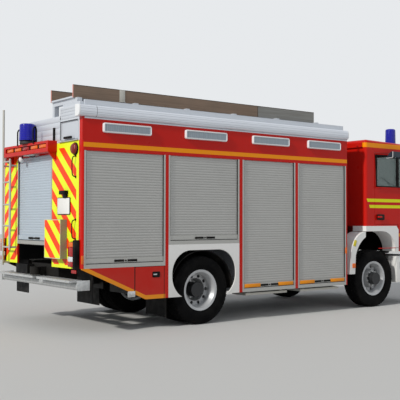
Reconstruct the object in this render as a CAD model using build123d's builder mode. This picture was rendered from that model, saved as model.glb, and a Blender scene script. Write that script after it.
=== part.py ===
from build123d import *
import os
from math import ceil, cos, radians, sin

os.makedirs("parts", exist_ok=True)

# Lengths in millimetres: X forward, Y to the left, Z up from the ground.
# Driving dimensions of the layout
body_width = 2500
cab_gap = 510            # from the body's front wall to the cab's rear wall
cab_length = 1640
body_setback = 755       # body's front wall behind the front axle
bumper_reach = 60        # bumper face ahead of the cab's front
rear_reach = 225         # beacon guard behind the rear wall
rear_overhang = 1995     # rear wall to rear axle
wheelbase = 3840
fit_gap = 0.3            # between pieces that are seated on each other
clearance = 6            # between pieces that move past each other

# Driving heights
skirt_z = 430            # lower edge of the body
tail_z = 873             # lower edge of the body at its rear corner
header_z = 2442          # head of the side shutters
cant_z = 2885            # top of the red side, under the awning
roof_z = cant_z + 65
raised_roof_z = cant_z + 175    # roof block beside the awning
deck_z = 980             # middle floor, over the chassis
rail_top_z = 930         # top of the chassis rails

# Body panels
panel = 20               # sandwich panel of floors, roof and partitions
skin = 20                # lower panels
rear_skin = 30           # rear wall, as thick as the corner posts
roof_thickness = 85      # roof with its frame
frame_depth = 60         # red side frame, from its face inward
sill_height = 55
tunnel_y = 500           # half width of the raised middle floor
corner_width = 150       # corner post across the rear face
notch_length = 650       # lowered roof corner at the top of the ladder
notch_y = 340
ceiling_z = 2600         # top of the rear compartment's ceiling, floor of the roof corner
rear_bay_right_y = -390
rear_bay_left_y = 750
rear_sill_z = 1165       # lower edge of the rear shutter's sill
rear_floor_z = 1170

# Side bays: the second stands over the rear axle, the first and fourth take what is left at each end
wheel_bay_reach = 613    # second bay's rear edge behind the axle
wheel_bay_width = 1308
third_bay_width = 1112
pillar_widths = (54, 62, 59)
front_pillar = 25
rear_bay_base = 885      # lower edges of the sills
wheel_bay_base = 1175

body_length = rear_overhang + wheelbase - body_setback
overall_length = rear_reach + body_length + cab_gap + cab_length + bumper_reach
rear_x = rear_reach - overall_length / 2
rear_axle_x = rear_x + rear_overhang
front_axle_x = rear_axle_x + wheelbase
front_x = front_axle_x - body_setback
cab_rear_x = front_x + cab_gap
cab_front_x = cab_rear_x + cab_length
half_width = body_width / 2
inner_y = half_width - frame_depth - fit_gap

# Each bay's near and far end along X, with its sill's lower edge
wheel_bay_x = rear_axle_x - wheel_bay_reach
third_bay_x = wheel_bay_x + wheel_bay_width + pillar_widths[1]
fourth_bay_x = third_bay_x + third_bay_width + pillar_widths[2]
bays = [
    (rear_x + rear_skin, wheel_bay_x - pillar_widths[0], rear_bay_base),
    (wheel_bay_x, wheel_bay_x + wheel_bay_width, wheel_bay_base),
    (third_bay_x, third_bay_x + third_bay_width, skirt_z),
    (fourth_bay_x, front_x - front_pillar, skirt_z),
]

# Partitions stand in the middle of the pillars
partitions_x = [(before[1] + after[0] - panel) / 2 for before, after in zip(bays, bays[1:])]
front_wall_x = front_x - panel
under_roof_z = roof_z - roof_thickness - fit_gap

# Shutters
guide_width = 30
guide_depth = 42
slat_pitch = 38
slat_thickness = 9
slat_step = 3            # how far each slat's lower edge stands proud of the next
slat_recess = 16         # outer face of the slats behind the body side
bar_height = 75
bar_thickness = 24

# Wheels
tyre_radius = 500
tyre_width = 290
rim_radius = 300
rim_width = 250
front_wheel_y = 1055
rear_wheel_y = 1070      # outer wheel of each pair
twin_spacing = 330
kingpin_y = front_wheel_y - 60
axle_z = tyre_radius


def box(x_range, y_range, z_range):
    """Adds a box between two values on each axis to the part in hand."""
    size = [high - low for low, high in (x_range, y_range, z_range)]
    middle = tuple((high + low) / 2 for low, high in (x_range, y_range, z_range))
    with Locations(middle):
        Box(*size)


def both_sides(y_range):
    """The same stretch of Y on the right and on the left."""
    low, high = y_range
    return ((-high, -low), (low, high))


# Cab hinge, low at the front, and the cab's floor over the front wheels
foot_x = front_axle_x + 615
cab_hinge_x = cab_front_x - 40
cab_hinge_z = rail_top_z
cab_floor_z = 1420
ear_width = 30

# Chassis frame: two channel rails with cross-members, the spring hangers and the towing jaw
rail_y = 385             # middle of a rail's web and flanges
rail_width = 80
rail_height = 230
rail_wall = 10
rail_start_x = rear_x + 90
rail_end_x = cab_front_x - 160
rail_bottom_z = rail_top_z - rail_height
engine_x = (cab_rear_x - 115, foot_x - 30)
gearbox_x = engine_x[0] - 620
jaw_bore = 42
jaw_x = rear_x - 60
jaw_z = 800
spring_table = [
    (front_axle_x, 800, axle_z + 40 + fit_gap),
    (rear_axle_x, 700, axle_z + 70 + fit_gap),
]
spring_width = 76
spring_pad_y = 440
spring_pack = 60
spring_sag = 90
spring_end = 20
hanger_table = [(x, half, seat + spring_sag + spring_end + fit_gap) for x, half, seat in spring_table]
cross_members_x = [
    rail_start_x + 40,
    rear_axle_x - 720,
    rear_axle_x + 720,
    (rear_axle_x + front_axle_x) / 2 + 150,
    gearbox_x - 140,
    rail_end_x - 60,
]

rail_middle_x = (rail_start_x + rail_end_x) / 2
rail_middle_z = rail_top_z - rail_height / 2
cross_member_y = rail_y + rail_width / 2 - rail_wall - fit_gap
with BuildPart() as chassis_frame:
    for side in (-1, 1):
        with Locations((rail_middle_x, side * rail_y, rail_middle_z)):
            Box(rail_end_x - rail_start_x, rail_width, rail_height)
        with Locations((rail_middle_x, side * (rail_y - rail_wall), rail_middle_z)):
            Box(rail_end_x - rail_start_x, rail_width, rail_height - 2 * rail_wall, mode=Mode.SUBTRACT)
    for x in cross_members_x:
        with Locations((x, 0, rail_middle_z)):
            Box(80, 2 * cross_member_y, 160)
    # Hangers that hold the springs' ends under the rails
    for axle_x, half_length, end_z in hanger_table:
        for side in (-1, 1):
            for end in (-1, 1):
                x = axle_x + end * (half_length - 40)
                box((x - 50, x + 50), (side * spring_pad_y - 38, side * spring_pad_y + 38),
                    (end_z, rail_bottom_z - fit_gap))
    # Forks for the cab's hinge pins, and the rest under the cab's rear
    for side in (-1, 1):
        for cheek in (-1, 1):
            cheek_y = side * rail_y + cheek * (ear_width / 2 + fit_gap + 8)
            box((rail_end_x + fit_gap, cab_hinge_x), (cheek_y - 8, cheek_y + 8), (cab_hinge_z - 48, cab_hinge_z + 20))
            with BuildSketch(Plane.XZ.offset(-cheek_y - 8)):
                with Locations((cab_hinge_x, cab_hinge_z)):
                    Circle(24)
            extrude(amount=16)
        box((cab_rear_x + 50, cab_rear_x + 120), (side * rail_y - 35, side * rail_y + 35),
            (rail_top_z + fit_gap, cab_floor_z - fit_gap))
    rest_y = rail_y - 35 - fit_gap
    box((cab_rear_x + 50, cab_rear_x + 120), (-rest_y, rest_y), (cab_floor_z - 80, cab_floor_z - 20))
    # Drawbar from the last cross-member to the towing jaw, with the jaw's upright pin bore
    box((jaw_x, rail_start_x - fit_gap), (-45, 45), (jaw_z - 55, jaw_z + 55))
    with Locations((jaw_x, 0, jaw_z)):
        Cylinder(radius=75, height=110)
        Cylinder(radius=jaw_bore / 2, height=200, mode=Mode.SUBTRACT)
chassis_frame.part.label = "chassis_frame"
export_step(chassis_frame.part, "parts/chassis_frame.step")

# Engine and gearbox as one plain block under the cab, and the propeller shaft to the rear axle
shaft_z = 640
with BuildPart() as driveline:
    box(engine_x, (-300, 300), (axle_z + 95, 1300))
    box((gearbox_x, engine_x[0] - fit_gap), (-200, 200), (560, 880))
    # Radiator ahead of the engine, on the fan's housing
    box((foot_x + 60, foot_x + 150), (-330, 330), (480, 900))
    box((engine_x[1] + fit_gap, foot_x + 60 - fit_gap), (-120, 120), (620, 760))
    # Engine and gearbox mounts against the rails' inner edges
    for x, half_block in ((gearbox_x + 200, 200), ((engine_x[0] + engine_x[1]) / 2, 300)):
        for y_range in both_sides((half_block + fit_gap, rail_y - rail_width / 2 - fit_gap)):
            box((x - 60, x + 60), y_range, (690, 780))
    with BuildSketch(Plane.YZ.offset(rear_axle_x + 190)):
        with Locations((0, shaft_z)):
            Circle(45)
    extrude(amount=gearbox_x - fit_gap - rear_axle_x - 190)
driveline.part.label = "driveline"
export_step(driveline.part, "parts/driveline.step")

# Axles: forged front beam and rear housing with its differential
spindle_radius = 50
with BuildPart() as axle_beams:
    with BuildSketch(Plane.XZ.offset(-(kingpin_y - 52))):
        with Locations((front_axle_x, axle_z - 60)):
            Rectangle(90, 110)
    extrude(amount=2 * (kingpin_y - 52))
    for side in (-1, 1):
        with Locations((front_axle_x, side * kingpin_y, axle_z)):
            Cylinder(radius=42, height=120)
    box((front_axle_x - 45, front_axle_x + 45), (-(kingpin_y - 20), kingpin_y - 20), (axle_z - 40, axle_z + 40))
    with BuildSketch(Plane.XZ.offset(-(rear_wheel_y - 20))):
        with Locations((rear_axle_x, axle_z)):
            Circle(spindle_radius)
    extrude(amount=2 * (rear_wheel_y - 20))
    box((rear_axle_x - 70, rear_axle_x + 70), (-560, 560), (axle_z - 70, axle_z + 70))
    with Locations((rear_axle_x, 0, axle_z)):
        Sphere(190)
axle_beams.part.label = "axle_beams"
export_step(axle_beams.part, "parts/axle_beams.step")

# Leaf springs: one curved pack at each axle end, hung under the rails
with BuildPart() as leaf_springs:
    for x, half_length, seat_z in spring_table:
        for side in (-1, 1):
            with BuildSketch(Plane.XZ.offset(-side * spring_pad_y + spring_width / 2)):
                with BuildLine():
                    ThreePointArc(
                        (x - half_length, seat_z + spring_sag),
                        (x, seat_z),
                        (x + half_length, seat_z + spring_sag),
                    )
                    Line((x + half_length, seat_z + spring_sag), (x + half_length, seat_z + spring_sag + spring_end))
                    ThreePointArc(
                        (x + half_length, seat_z + spring_sag + spring_end),
                        (x, seat_z + spring_pack),
                        (x - half_length, seat_z + spring_sag + spring_end),
                    )
                    Line((x - half_length, seat_z + spring_sag + spring_end), (x - half_length, seat_z + spring_sag))
                make_face()
            extrude(amount=-spring_width)
leaf_springs.part.label = "leaf_springs"
export_step(leaf_springs.part, "parts/leaf_springs.step")

# Air receivers beside the rails under the front bays, and the tanks in the gap behind the cab
tank_radius = 170
tank_y = 760
with BuildPart() as side_tanks:
    for y_range in both_sides((rail_y + rail_width / 2 + fit_gap, tunnel_y - panel - fit_gap)):
        box((bays[2][0] + 60, bays[3][1] - 60), y_range, (500, 700))
    for side in (-1, 1):
        with BuildSketch(Plane.YZ.offset(front_x + 40)):
            with Locations((side * tank_y, 720)):
                Circle(tank_radius)
        extrude(amount=190)
    # Bracket from the rail to each tank
    for y_range in both_sides((rail_y + rail_width / 2 + fit_gap, tank_y - tank_radius - fit_gap)):
        box((front_x + 110, front_x + 150), y_range, (690, 760))
side_tanks.part.label = "side_tanks"
export_step(side_tanks.part, "parts/side_tanks.step")

# Front bumper with its corner steps, and the underride beam with the rear treads
bumper_top_z = 870
step_front_x = front_axle_x + 620
beam_z = 650
beam_radius = 58
tread_z = beam_z + beam_radius + 22
with BuildPart() as bumpers:
    with BuildSketch(Plane.XY.offset(400)):
        with BuildLine():
            bumper_x = cab_front_x + bumper_reach
            Polyline(
                (step_front_x, -1190), (step_front_x + 330, -1225), (bumper_x - 150, -1225),
                (bumper_x - 25, -1050), (bumper_x, -700), (bumper_x, 700), (bumper_x - 25, 1050),
                (bumper_x - 150, 1225), (step_front_x + 330, 1225), (step_front_x, 1190),
                (step_front_x, 1000), (bumper_x - 260, 1000), (bumper_x - 130, 650), (bumper_x - 130, -650),
                (bumper_x - 260, -1000), (step_front_x, -1000), close=True,
            )
        make_face()
    extrude(amount=bumper_top_z - 400)
    for side in (-1, 1):
        # Step pocket cut into each corner, and the bracket from the rail's end
        with Locations((step_front_x + 230, side * 1150, 700)):
            Box(300, 260, 130, mode=Mode.SUBTRACT)
        with Locations((rail_end_x + 40, side * rail_y, 620)):
            Box(80 - 2 * fit_gap, rail_width, 200)
        with Locations((bumper_x - 160, side * rail_y, 620)):
            Box(100, rail_width, 200)
    # Underride beam, its two arms from the rails and the treads on it
    with BuildSketch(Plane.XZ.offset(-1200)):
        with Locations((rear_x + 30, beam_z)):
            Circle(beam_radius)
    extrude(amount=2400)
    for y_range in both_sides((rail_y - 40, rail_y + 40)):
        box((rear_x + 10, rear_x + 150), y_range, (beam_z - 20, rail_bottom_z - fit_gap))
    for y_range in ((-1150, -180), (-60, 1150)):
        box((rear_x - 130, rear_x + 60), y_range, (tread_z - 30, tread_z))
    box((rear_x - 20, rail_start_x - clearance), (350, 740), (beam_z, tail_z))
bumpers.part.label = "bumpers"
export_step(bumpers.part, "parts/bumpers.step")

# Mudguards: arcs over the rear twins, the chassis half behind each front wheel, and the flaps
wall_y = 450             # partition right of the rear compartment
left_wall_y = 790
guard_wall = 12
rear_guard_radius = 585
front_guard_radius = 560
guard_rows_y = both_sides((560, half_width - skin - fit_gap))
guard_split_x = cab_rear_x - 23      # between the mudguard's half and the cab's fender
with BuildPart() as mudguards:
    for y_low, y_high in guard_rows_y:
        with BuildSketch(Plane.XZ.offset(-y_high)):
            with Locations((rear_axle_x, axle_z)):
                Circle(rear_guard_radius)
                Circle(rear_guard_radius - guard_wall, mode=Mode.SUBTRACT)
                Rectangle(3 * rear_guard_radius, 3 * rear_guard_radius, align=(Align.CENTER, Align.MAX),
                          mode=Mode.SUBTRACT)
        extrude(amount=y_high - y_low)
    # Rear half of the front mudguard, seen from the side, between the body's front and the cab's rear
    for side in (-1, 1):
        with BuildSketch(Plane.XZ.offset(-side * 1240)):
            with BuildLine():
                Polyline((guard_split_x, 1228), (guard_split_x, 1320), (guard_split_x - 30, 1318))
                ThreePointArc(
                    (guard_split_x - 30, 1318), (front_axle_x - 512, 1213), (front_axle_x - 635, 990),
                )
                Polyline(
                    (front_axle_x - 635, 990), (front_axle_x - 681, 600), (front_axle_x - 545, 600),
                    (front_axle_x - 524, 916),
                )
                ThreePointArc(
                    (front_axle_x - 524, 916), (front_axle_x - 430, 1098), (guard_split_x, 1228),
                )
            make_face()
        extrude(amount=side * 300)
        # Stay from the rail to the guard
        stay_y = sorted((side * (rail_y + rail_width / 2 + fit_gap), side * 945))
        box((front_axle_x - 635, front_axle_x - 600), stay_y, (rail_top_z - 30, rail_top_z))
    # Flaps hang behind the rear wheels and from the rear of the front mudguards
    for y_low, y_high in both_sides((680, 1190)):
        box((rear_axle_x - 618, rear_axle_x - 606), (y_low, y_high), (150, skirt_z - fit_gap))
    for y_low, y_high in both_sides((wall_y + 320, inner_y)):
        box((rear_x + 195, rear_x + 207), (y_low, y_high), (410, rear_bay_base + sill_height - panel - fit_gap))
mudguards.part.label = "mudguards"
export_step(mudguards.part, "parts/mudguards.step")

# Body floors: low side floors, raised middle floor, floors over the wheels and the lockers
first_x = rear_x + rear_skin + fit_gap
cross = partitions_x + [front_wall_x]
locker_x = bays[0][1] - 507     # rear edge of the locker flaps
locker_floor_z = 505
with BuildPart() as body_floors:
    for start, end in ((cross[1] + panel, cross[2]), (cross[2] + panel, cross[3])):
        floor_x = (start + fit_gap, end - fit_gap)
        box(floor_x, (-inner_y, -tunnel_y - fit_gap), (skirt_z + sill_height - panel, skirt_z + sill_height))
        box(floor_x, (tunnel_y + fit_gap, inner_y), (skirt_z + sill_height - panel, skirt_z + sill_height))
        box(floor_x, (-tunnel_y, tunnel_y), (deck_z - panel, deck_z))
    wheel_floor_z = bays[1][2] + sill_height
    for y_range in both_sides((panel / 2 + fit_gap, inner_y)):
        box((cross[0] + panel + fit_gap, cross[1] - fit_gap), y_range, (wheel_floor_z - panel, wheel_floor_z))
    rear_floor_x = (first_x, cross[0] - fit_gap)
    side_floor_z = bays[0][2] + sill_height
    box(rear_floor_x, (-inner_y, -wall_y - fit_gap), (side_floor_z - panel, side_floor_z))
    box(rear_floor_x, (left_wall_y + panel + fit_gap, inner_y), (side_floor_z - panel, side_floor_z))
    box((rear_x + frame_depth + fit_gap, rear_floor_x[1]), (-wall_y + panel + fit_gap, left_wall_y - fit_gap),
        (rear_floor_z - panel, rear_floor_z))
    # Ceiling of the rear bays, which is also the floor of the long roof locker
    box(rear_floor_x, (-inner_y, inner_y), (ceiling_z - panel, ceiling_z))
    for y_range in both_sides((640 + fit_gap, inner_y)):
        box((locker_x + fit_gap, cross[0] - fit_gap), y_range, (locker_floor_z, locker_floor_z + panel))
body_floors.part.label = "body_floors"
export_step(body_floors.part, "parts/body_floors.step")

# Body partitions: bulkheads across, and the walls along the compartments
with BuildPart() as body_partitions:
    for number, x in enumerate(cross):
        plate_x = (x, x + panel)
        upper_z = (rear_floor_z, deck_z, deck_z, deck_z)[number]
        box(plate_x, (-inner_y, inner_y), (upper_z + fit_gap, under_roof_z))
        for y_range in both_sides((tunnel_y, inner_y)):
            box(plate_x, y_range, (skirt_z, upper_z))
    # Middle wall between the right and left bays
    middle_floor_z = (wheel_floor_z, deck_z, deck_z)
    for start, end, low in zip(cross, cross[1:], middle_floor_z):
        box((start + panel + fit_gap, end - fit_gap), (-panel / 2, panel / 2), (low + fit_gap, under_roof_z))
    # Walls beside the rear compartment
    for y in (-wall_y, left_wall_y):
        box(rear_floor_x, (y, y + panel), (side_floor_z - panel, ceiling_z - panel - fit_gap))
    # Risers between the low floors and the middle floor
    for start, end in ((cross[1] + panel, cross[2]), (cross[2] + panel, cross[3])):
        for y_range in both_sides((tunnel_y - panel, tunnel_y)):
            box((start + fit_gap, end - fit_gap), y_range, (skirt_z + sill_height - panel, deck_z - panel - fit_gap))
    # Walls of the lockers ahead of the diagonal skirt
    for y_range in both_sides((640, inner_y)):
        box((locker_x - panel, locker_x), y_range, (locker_floor_z, side_floor_z - panel - fit_gap))
    for y_range in both_sides((620 - fit_gap, 640 - fit_gap)):
        box((locker_x - panel, cross[0] - fit_gap), y_range, (locker_floor_z, side_floor_z - panel - fit_gap))
    # Walls of the lowered roof corner
    box((rear_x + notch_length, rear_x + notch_length + panel), (notch_y, inner_y), (ceiling_z + fit_gap, under_roof_z))
    box((first_x, rear_x + notch_length - fit_gap), (notch_y, notch_y + panel), (ceiling_z + fit_gap, under_roof_z))
body_partitions.part.label = "body_partitions"
export_step(body_partitions.part, "parts/body_partitions.step")

# Roof: the main sheet, and the raised block that carries the awning and the tray
block_y = (-1170, -620)
rail_strip_y = (block_y[0] + 5, block_y[0] + 35)     # rail along the block's outer edge, under the tray
rail_strip_height = 68
with BuildPart() as body_roof:
    roof_sheet_z = (roof_z - roof_thickness, roof_z)
    box((rear_x + notch_length, front_x), (block_y[1] + fit_gap, half_width), roof_sheet_z)
    box((first_x, rear_x + notch_length - fit_gap), (block_y[1] + fit_gap, notch_y + panel), roof_sheet_z)
    box((first_x, front_x), (-half_width, block_y[1] - panel - fit_gap), (under_roof_z + fit_gap, cant_z))
    # Side walls and lid of the block
    for y_range in ((block_y[0], block_y[0] + panel), (block_y[1] - panel, block_y[1])):
        box((first_x, front_x), y_range, (cant_z + fit_gap, raised_roof_z - panel - fit_gap))
    box((first_x, front_x), block_y, (raised_roof_z - panel, raised_roof_z))
    box((rear_x + 80, front_x), rail_strip_y, (raised_roof_z + fit_gap, raised_roof_z + rail_strip_height))
body_roof.part.label = "body_roof"
export_step(body_roof.part, "parts/body_roof.step")

# Red side frames: header band, corner post and pillars on each side
pillar_ends = [bay_start for bay_start, bay_stop, base in bays] + [front_x]
pillar_starts = [rear_x] + [bay_stop for bay_start, bay_stop, base in bays]
corner_radius = 28
post_top_z = ceiling_z - panel
with BuildPart() as side_frames:
    for side in (-1, 1):
        face_y = sorted((side * (half_width - frame_depth), side * half_width))
        if side < 0:
            box((bays[0][0] + fit_gap, front_x), face_y, (header_z, under_roof_z))
        else:
            box((bays[0][0] + fit_gap, rear_x + notch_length - fit_gap), face_y, (header_z, ceiling_z))
            box((rear_x + notch_length, front_x), face_y, (header_z, under_roof_z))
        for start, end in zip(pillar_starts[1:], pillar_ends[1:]):
            box((start, end), face_y, (skirt_z, header_z - fit_gap))
        post_y = sorted((side * (half_width - corner_width), side * half_width))
        with BuildSketch(Plane.XY.offset(bays[0][2])):
            with Locations(((rear_x + bays[0][0]) / 2, sum(post_y) / 2)):
                Rectangle(bays[0][0] - rear_x, corner_width)
            outer = vertices().sort_by(Axis.X)[:2].sort_by(Axis.Y)
            fillet(outer[0] if side < 0 else outer[-1], corner_radius)
        extrude(amount=post_top_z - bays[0][2])
side_frames.part.label = "side_frames"
export_step(side_frames.part, "parts/side_frames.step")

# Every shutter: name, start of its opening, outward direction, width and sill's lower edge.
# From the start, the opening runs along outward x up, which is to the right seen from outside.
shutters = []
for side, side_name in ((-1, "right"), (1, "left")):
    for number, (start, end, base) in enumerate(bays, 1):
        corner = (end if side < 0 else start, side * half_width)
        shutters.append((f"{side_name}_{number}", corner, (0, side, 0), end - start, base))
rear_bay_width = rear_bay_left_y - rear_bay_right_y
shutters.append(("rear", (rear_x, rear_bay_right_y), (-1, 0, 0), rear_bay_width, rear_sill_z))


def opening_plan(corner, outward, z):
    """Level plane with X along the opening's width and Y outward."""
    along = Vector(*outward).cross(Vector(0, 0, 1))
    return Plane(origin=(*corner, z), x_dir=along, z_dir=(0, 0, 1))


def opening_section(corner, outward):
    """Upright plane across the opening, with X outward and Y up."""
    along = Vector(*outward).cross(Vector(0, 0, 1))
    return Plane(origin=(*corner, 0), x_dir=Vector(*outward), z_dir=along)


# Guides are channels that take the slats' ends, and stand on the sill
slot_depth = 16
slot_middle = -(slat_recess + slat_thickness / 2)
with BuildPart() as shutter_guides:
    for name, corner, outward, width, base in shutters:
        with BuildSketch(opening_plan(corner, outward, base)):
            with Locations((width / 2, -frame_depth / 2)):
                Rectangle(width - 2 * fit_gap, frame_depth)
        extrude(amount=sill_height)
        guide_z = base + sill_height + fit_gap
        with BuildSketch(opening_plan(corner, outward, guide_z)):
            for middle, slot_x in ((guide_width / 2, guide_width), (width - guide_width / 2, width - guide_width)):
                with Locations((middle, -guide_depth / 2)):
                    Rectangle(guide_width - 2 * fit_gap, guide_depth)
                with Locations((slot_x, slot_middle)):
                    Rectangle(2 * slot_depth, slat_thickness + 2 * slat_step + 2, mode=Mode.SUBTRACT)
        extrude(amount=header_z - fit_gap - guide_z)
shutter_guides.part.label = "shutter_guides"
export_step(shutter_guides.part, "parts/shutter_guides.step")

# Curtains of lapped slats, and the bottom bar with its twin grip under each
grip_length = 150
grip_gap = 60
for name, corner, outward, width, base in shutters:
    bar_z = base + sill_height + fit_gap
    curtain_z = bar_z + bar_height + fit_gap
    curtain_top = header_z - fit_gap
    slat_count = ceil((curtain_top - curtain_z) / slat_pitch)
    slat_height = (curtain_top - curtain_z) / slat_count
    back = -(slat_recess + slat_thickness)
    with BuildPart() as curtain:
        with BuildSketch(opening_section(corner, outward)):
            with BuildLine():
                lapped = [(back, curtain_top), (back, curtain_z)]
                for slat in range(slat_count):
                    low = curtain_z + slat * slat_height
                    lapped.append((-slat_recess, low))
                    lapped.append((-slat_recess - slat_step, low + slat_height))
                Polyline(*lapped, close=True)
            make_face()
        extrude(amount=width - 2 * guide_width + slot_depth)
    # The sketch starts at the opening's corner, so the curtain is moved in to run between the slots
    along = Vector(*outward).cross(Vector(0, 0, 1))
    curtain.part.position = along * (guide_width - slot_depth / 2)
    curtain.part.label = f"curtain_{name}"
    export_step(curtain.part, f"parts/curtain_{name}.step")

    with BuildPart() as bar:
        with BuildSketch(opening_plan(corner, outward, bar_z)):
            with Locations((width / 2, slot_middle)):
                Rectangle(width - 2 * guide_width - 2 * clearance, bar_thickness)
        extrude(amount=bar_height)
        with BuildSketch(opening_plan(corner, outward, bar_z + 0.3 * bar_height)):
            for step in (-1, 1):
                with Locations((width / 2 + step * (grip_length + grip_gap) / 2, slot_middle + bar_thickness / 2 + 3)):
                    Rectangle(grip_length, 10)
        extrude(amount=0.35 * bar_height)
    bar.part.label = f"shutter_bar_{name}"
    export_step(bar.part, f"parts/shutter_bar_{name}.step")

# Lower panels: the white wheel-arch panels and the red skirts with their diagonal tail
arch_top_z = 1090
arch_flat = 240          # half length of the arch's level top
arch_half = 585
arch_corner = 330
flap_x = (locker_x, bays[0][1] - 16)
skirt_front_x = locker_x + 180
skirt_top_z = bays[0][2] - fit_gap
tail_slope = (tail_z - skirt_z) / (skirt_front_x - rear_x)


def skirt_bottom(x):
    """Lower edge of the skirt, which climbs in a straight line to the rear corner."""
    return max(skirt_z, tail_z - tail_slope * (x - rear_x))


with BuildPart() as lower_panels:
    for side in (-1, 1):
        face = Plane.XZ.offset(half_width if side < 0 else -half_width)
        with BuildSketch(face):
            arch_x = (bays[1][0] + fit_gap, bays[1][1] - fit_gap)
            arch_z = bays[1][2] - fit_gap
            with Locations(((arch_x[0] + arch_x[1]) / 2, (skirt_z + arch_z) / 2)):
                Rectangle(arch_x[1] - arch_x[0], arch_z - skirt_z)
            with BuildSketch(face, mode=Mode.SUBTRACT):
                with Locations((rear_axle_x + 38, arch_top_z)):
                    Rectangle(2 * arch_half, arch_top_z - skirt_z + 40, align=(Align.CENTER, Align.MAX))
                fillet(vertices().group_by(Axis.Z)[-1], arch_corner)
            with BuildLine():
                Polyline(
                    (rear_x, tail_z), (rear_x, skirt_top_z), (flap_x[0], skirt_top_z),
                    (flap_x[0], skirt_bottom(flap_x[0])), close=True,
                )
            make_face()
            with Locations(((flap_x[1] + bays[0][1]) / 2, (skirt_z + skirt_top_z) / 2)):
                Rectangle(bays[0][1] - flap_x[1] - fit_gap, skirt_top_z - skirt_z)
        extrude(amount=-skin if side < 0 else skin)
lower_panels.part.label = "lower_panels"
export_step(lower_panels.part, "parts/lower_panels.step")

# Locker flaps ahead of the diagonal, one on each side, hung on their lower edge
flap_gap = clearance
flap_pin = 7
for side, side_name in ((-1, "right"), (1, "left")):
    low_x = flap_x[0] + flap_gap
    high_x = flap_x[1] - flap_gap
    with BuildPart() as locker_flap:
        with BuildSketch(Plane.XZ.offset(half_width if side < 0 else -half_width)):
            with BuildLine():
                Polyline(
                    (low_x, skirt_bottom(low_x)), (low_x, skirt_top_z - flap_gap), (high_x, skirt_top_z - flap_gap),
                    (high_x, skirt_z), (skirt_front_x, skirt_z), close=True,
                )
            make_face()
        extrude(amount=-skin if side < 0 else skin)
        # Hinge knuckle along the lower edge
        with BuildSketch(Plane.YZ.offset(skirt_front_x + 10)):
            with Locations((side * (half_width - flap_pin), skirt_z + flap_pin)):
                Circle(flap_pin)
        extrude(amount=flap_x[1] - fit_gap - skirt_front_x - 10)
    locker_flap.part.label = f"locker_flap_{side_name}"
    export_step(locker_flap.part, f"parts/locker_flap_{side_name}.step")

# Rear wall: chevron panels, ribbed aluminium above, and the chevron board on its standing frame
hatch_y = (-1136, -662)
hatch_z = (ceiling_z, cant_z - 25)
board_y = (-846, -373)
board_z = (1000, 1530)
board_x = rear_x - 105
rib_pitch = 75
with BuildPart() as rear_panels:
    wall_x = (rear_x, rear_x + rear_skin)
    for y_range in (
        (-half_width + corner_width + fit_gap, rear_bay_right_y - fit_gap),
        (rear_bay_left_y + fit_gap, half_width - corner_width - fit_gap),
    ):
        box(wall_x, y_range, (tail_z, post_top_z))
    box(wall_x, (rear_bay_right_y, rear_bay_left_y), (header_z, post_top_z))
    box(wall_x, (-half_width, half_width), (post_top_z + fit_gap, ceiling_z))
    # Above the ceiling: a sheet on each side of the hatch, and the sheets over it
    beside_z = (ceiling_z + fit_gap, hatch_z[1] + clearance - fit_gap)
    over_z = hatch_z[1] + clearance
    box(wall_x, (-half_width, hatch_y[0] - clearance), beside_z)
    box(wall_x, (hatch_y[1] + clearance, notch_y + panel), beside_z)
    box(wall_x, (-half_width, block_y[0] - fit_gap), (over_z, cant_z))
    box(wall_x, block_y, (over_z, raised_roof_z))
    box(wall_x, (block_y[1] + fit_gap, notch_y + panel), (over_z, roof_z))
    # Chevron board: front plate on two upright flanges that stand on the wall
    with BuildSketch(Plane.XY.offset(board_z[0])):
        with BuildLine():
            Polyline(
                (rear_x - fit_gap, board_y[0]), (board_x, board_y[0]), (board_x, board_y[1]),
                (rear_x - fit_gap, board_y[1]), (rear_x - fit_gap, board_y[1] - 8), (board_x + 8, board_y[1] - 8),
                (board_x + 8, board_y[0] + 8), (rear_x - fit_gap, board_y[0] + 8), close=True,
            )
        make_face()
    extrude(amount=board_z[1] - board_z[0])
rear_panels.part.label = "rear_panels"
export_step(rear_panels.part, "parts/rear_panels.step")

# Hatch of the long roof locker, hung on its upper edge
with BuildPart() as rear_hatch:
    box((rear_x, rear_x + rear_skin), hatch_y, (hatch_z[0] + clearance, hatch_z[1]))
    with BuildSketch(Plane.XZ.offset(-hatch_y[1] - clearance + fit_gap)):
        with Locations((rear_x - 2, hatch_z[1] - 2)):
            Circle(6)
    extrude(amount=hatch_y[1] - hatch_y[0] + 2 * (clearance - fit_gap))
    box((rear_x - 18, rear_x), (hatch_y[0] + 90, hatch_y[1] - 90), (hatch_z[0] + 12, hatch_z[0] + 30))
rear_hatch.part.label = "rear_hatch"
export_step(rear_hatch.part, "parts/rear_hatch.step")

# Awning cassette along the right roof edge, its front face ribbed and rounded
awning_z = (cant_z + fit_gap, cant_z + 162)
awning_y = (-1290, block_y[0] - fit_gap)
awning_x = (rear_x - 71, rear_x + 5092)
with BuildPart() as awning:
    with BuildSketch(Plane.YZ.offset(awning_x[0])):
        with Locations((sum(awning_y) / 2, sum(awning_z) / 2)):
            Rectangle(awning_y[1] - awning_y[0], awning_z[1] - awning_z[0])
        fillet(vertices().group_by(Axis.Y)[0], 30)
        for rib in range(3):
            with Locations((awning_y[0], awning_z[0] + 45 + 38 * rib)):
                Rectangle(8, 6, mode=Mode.SUBTRACT)
    extrude(amount=awning_x[1] - awning_x[0])
awning.part.label = "awning"
export_step(awning.part, "parts/awning.step")

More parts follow.
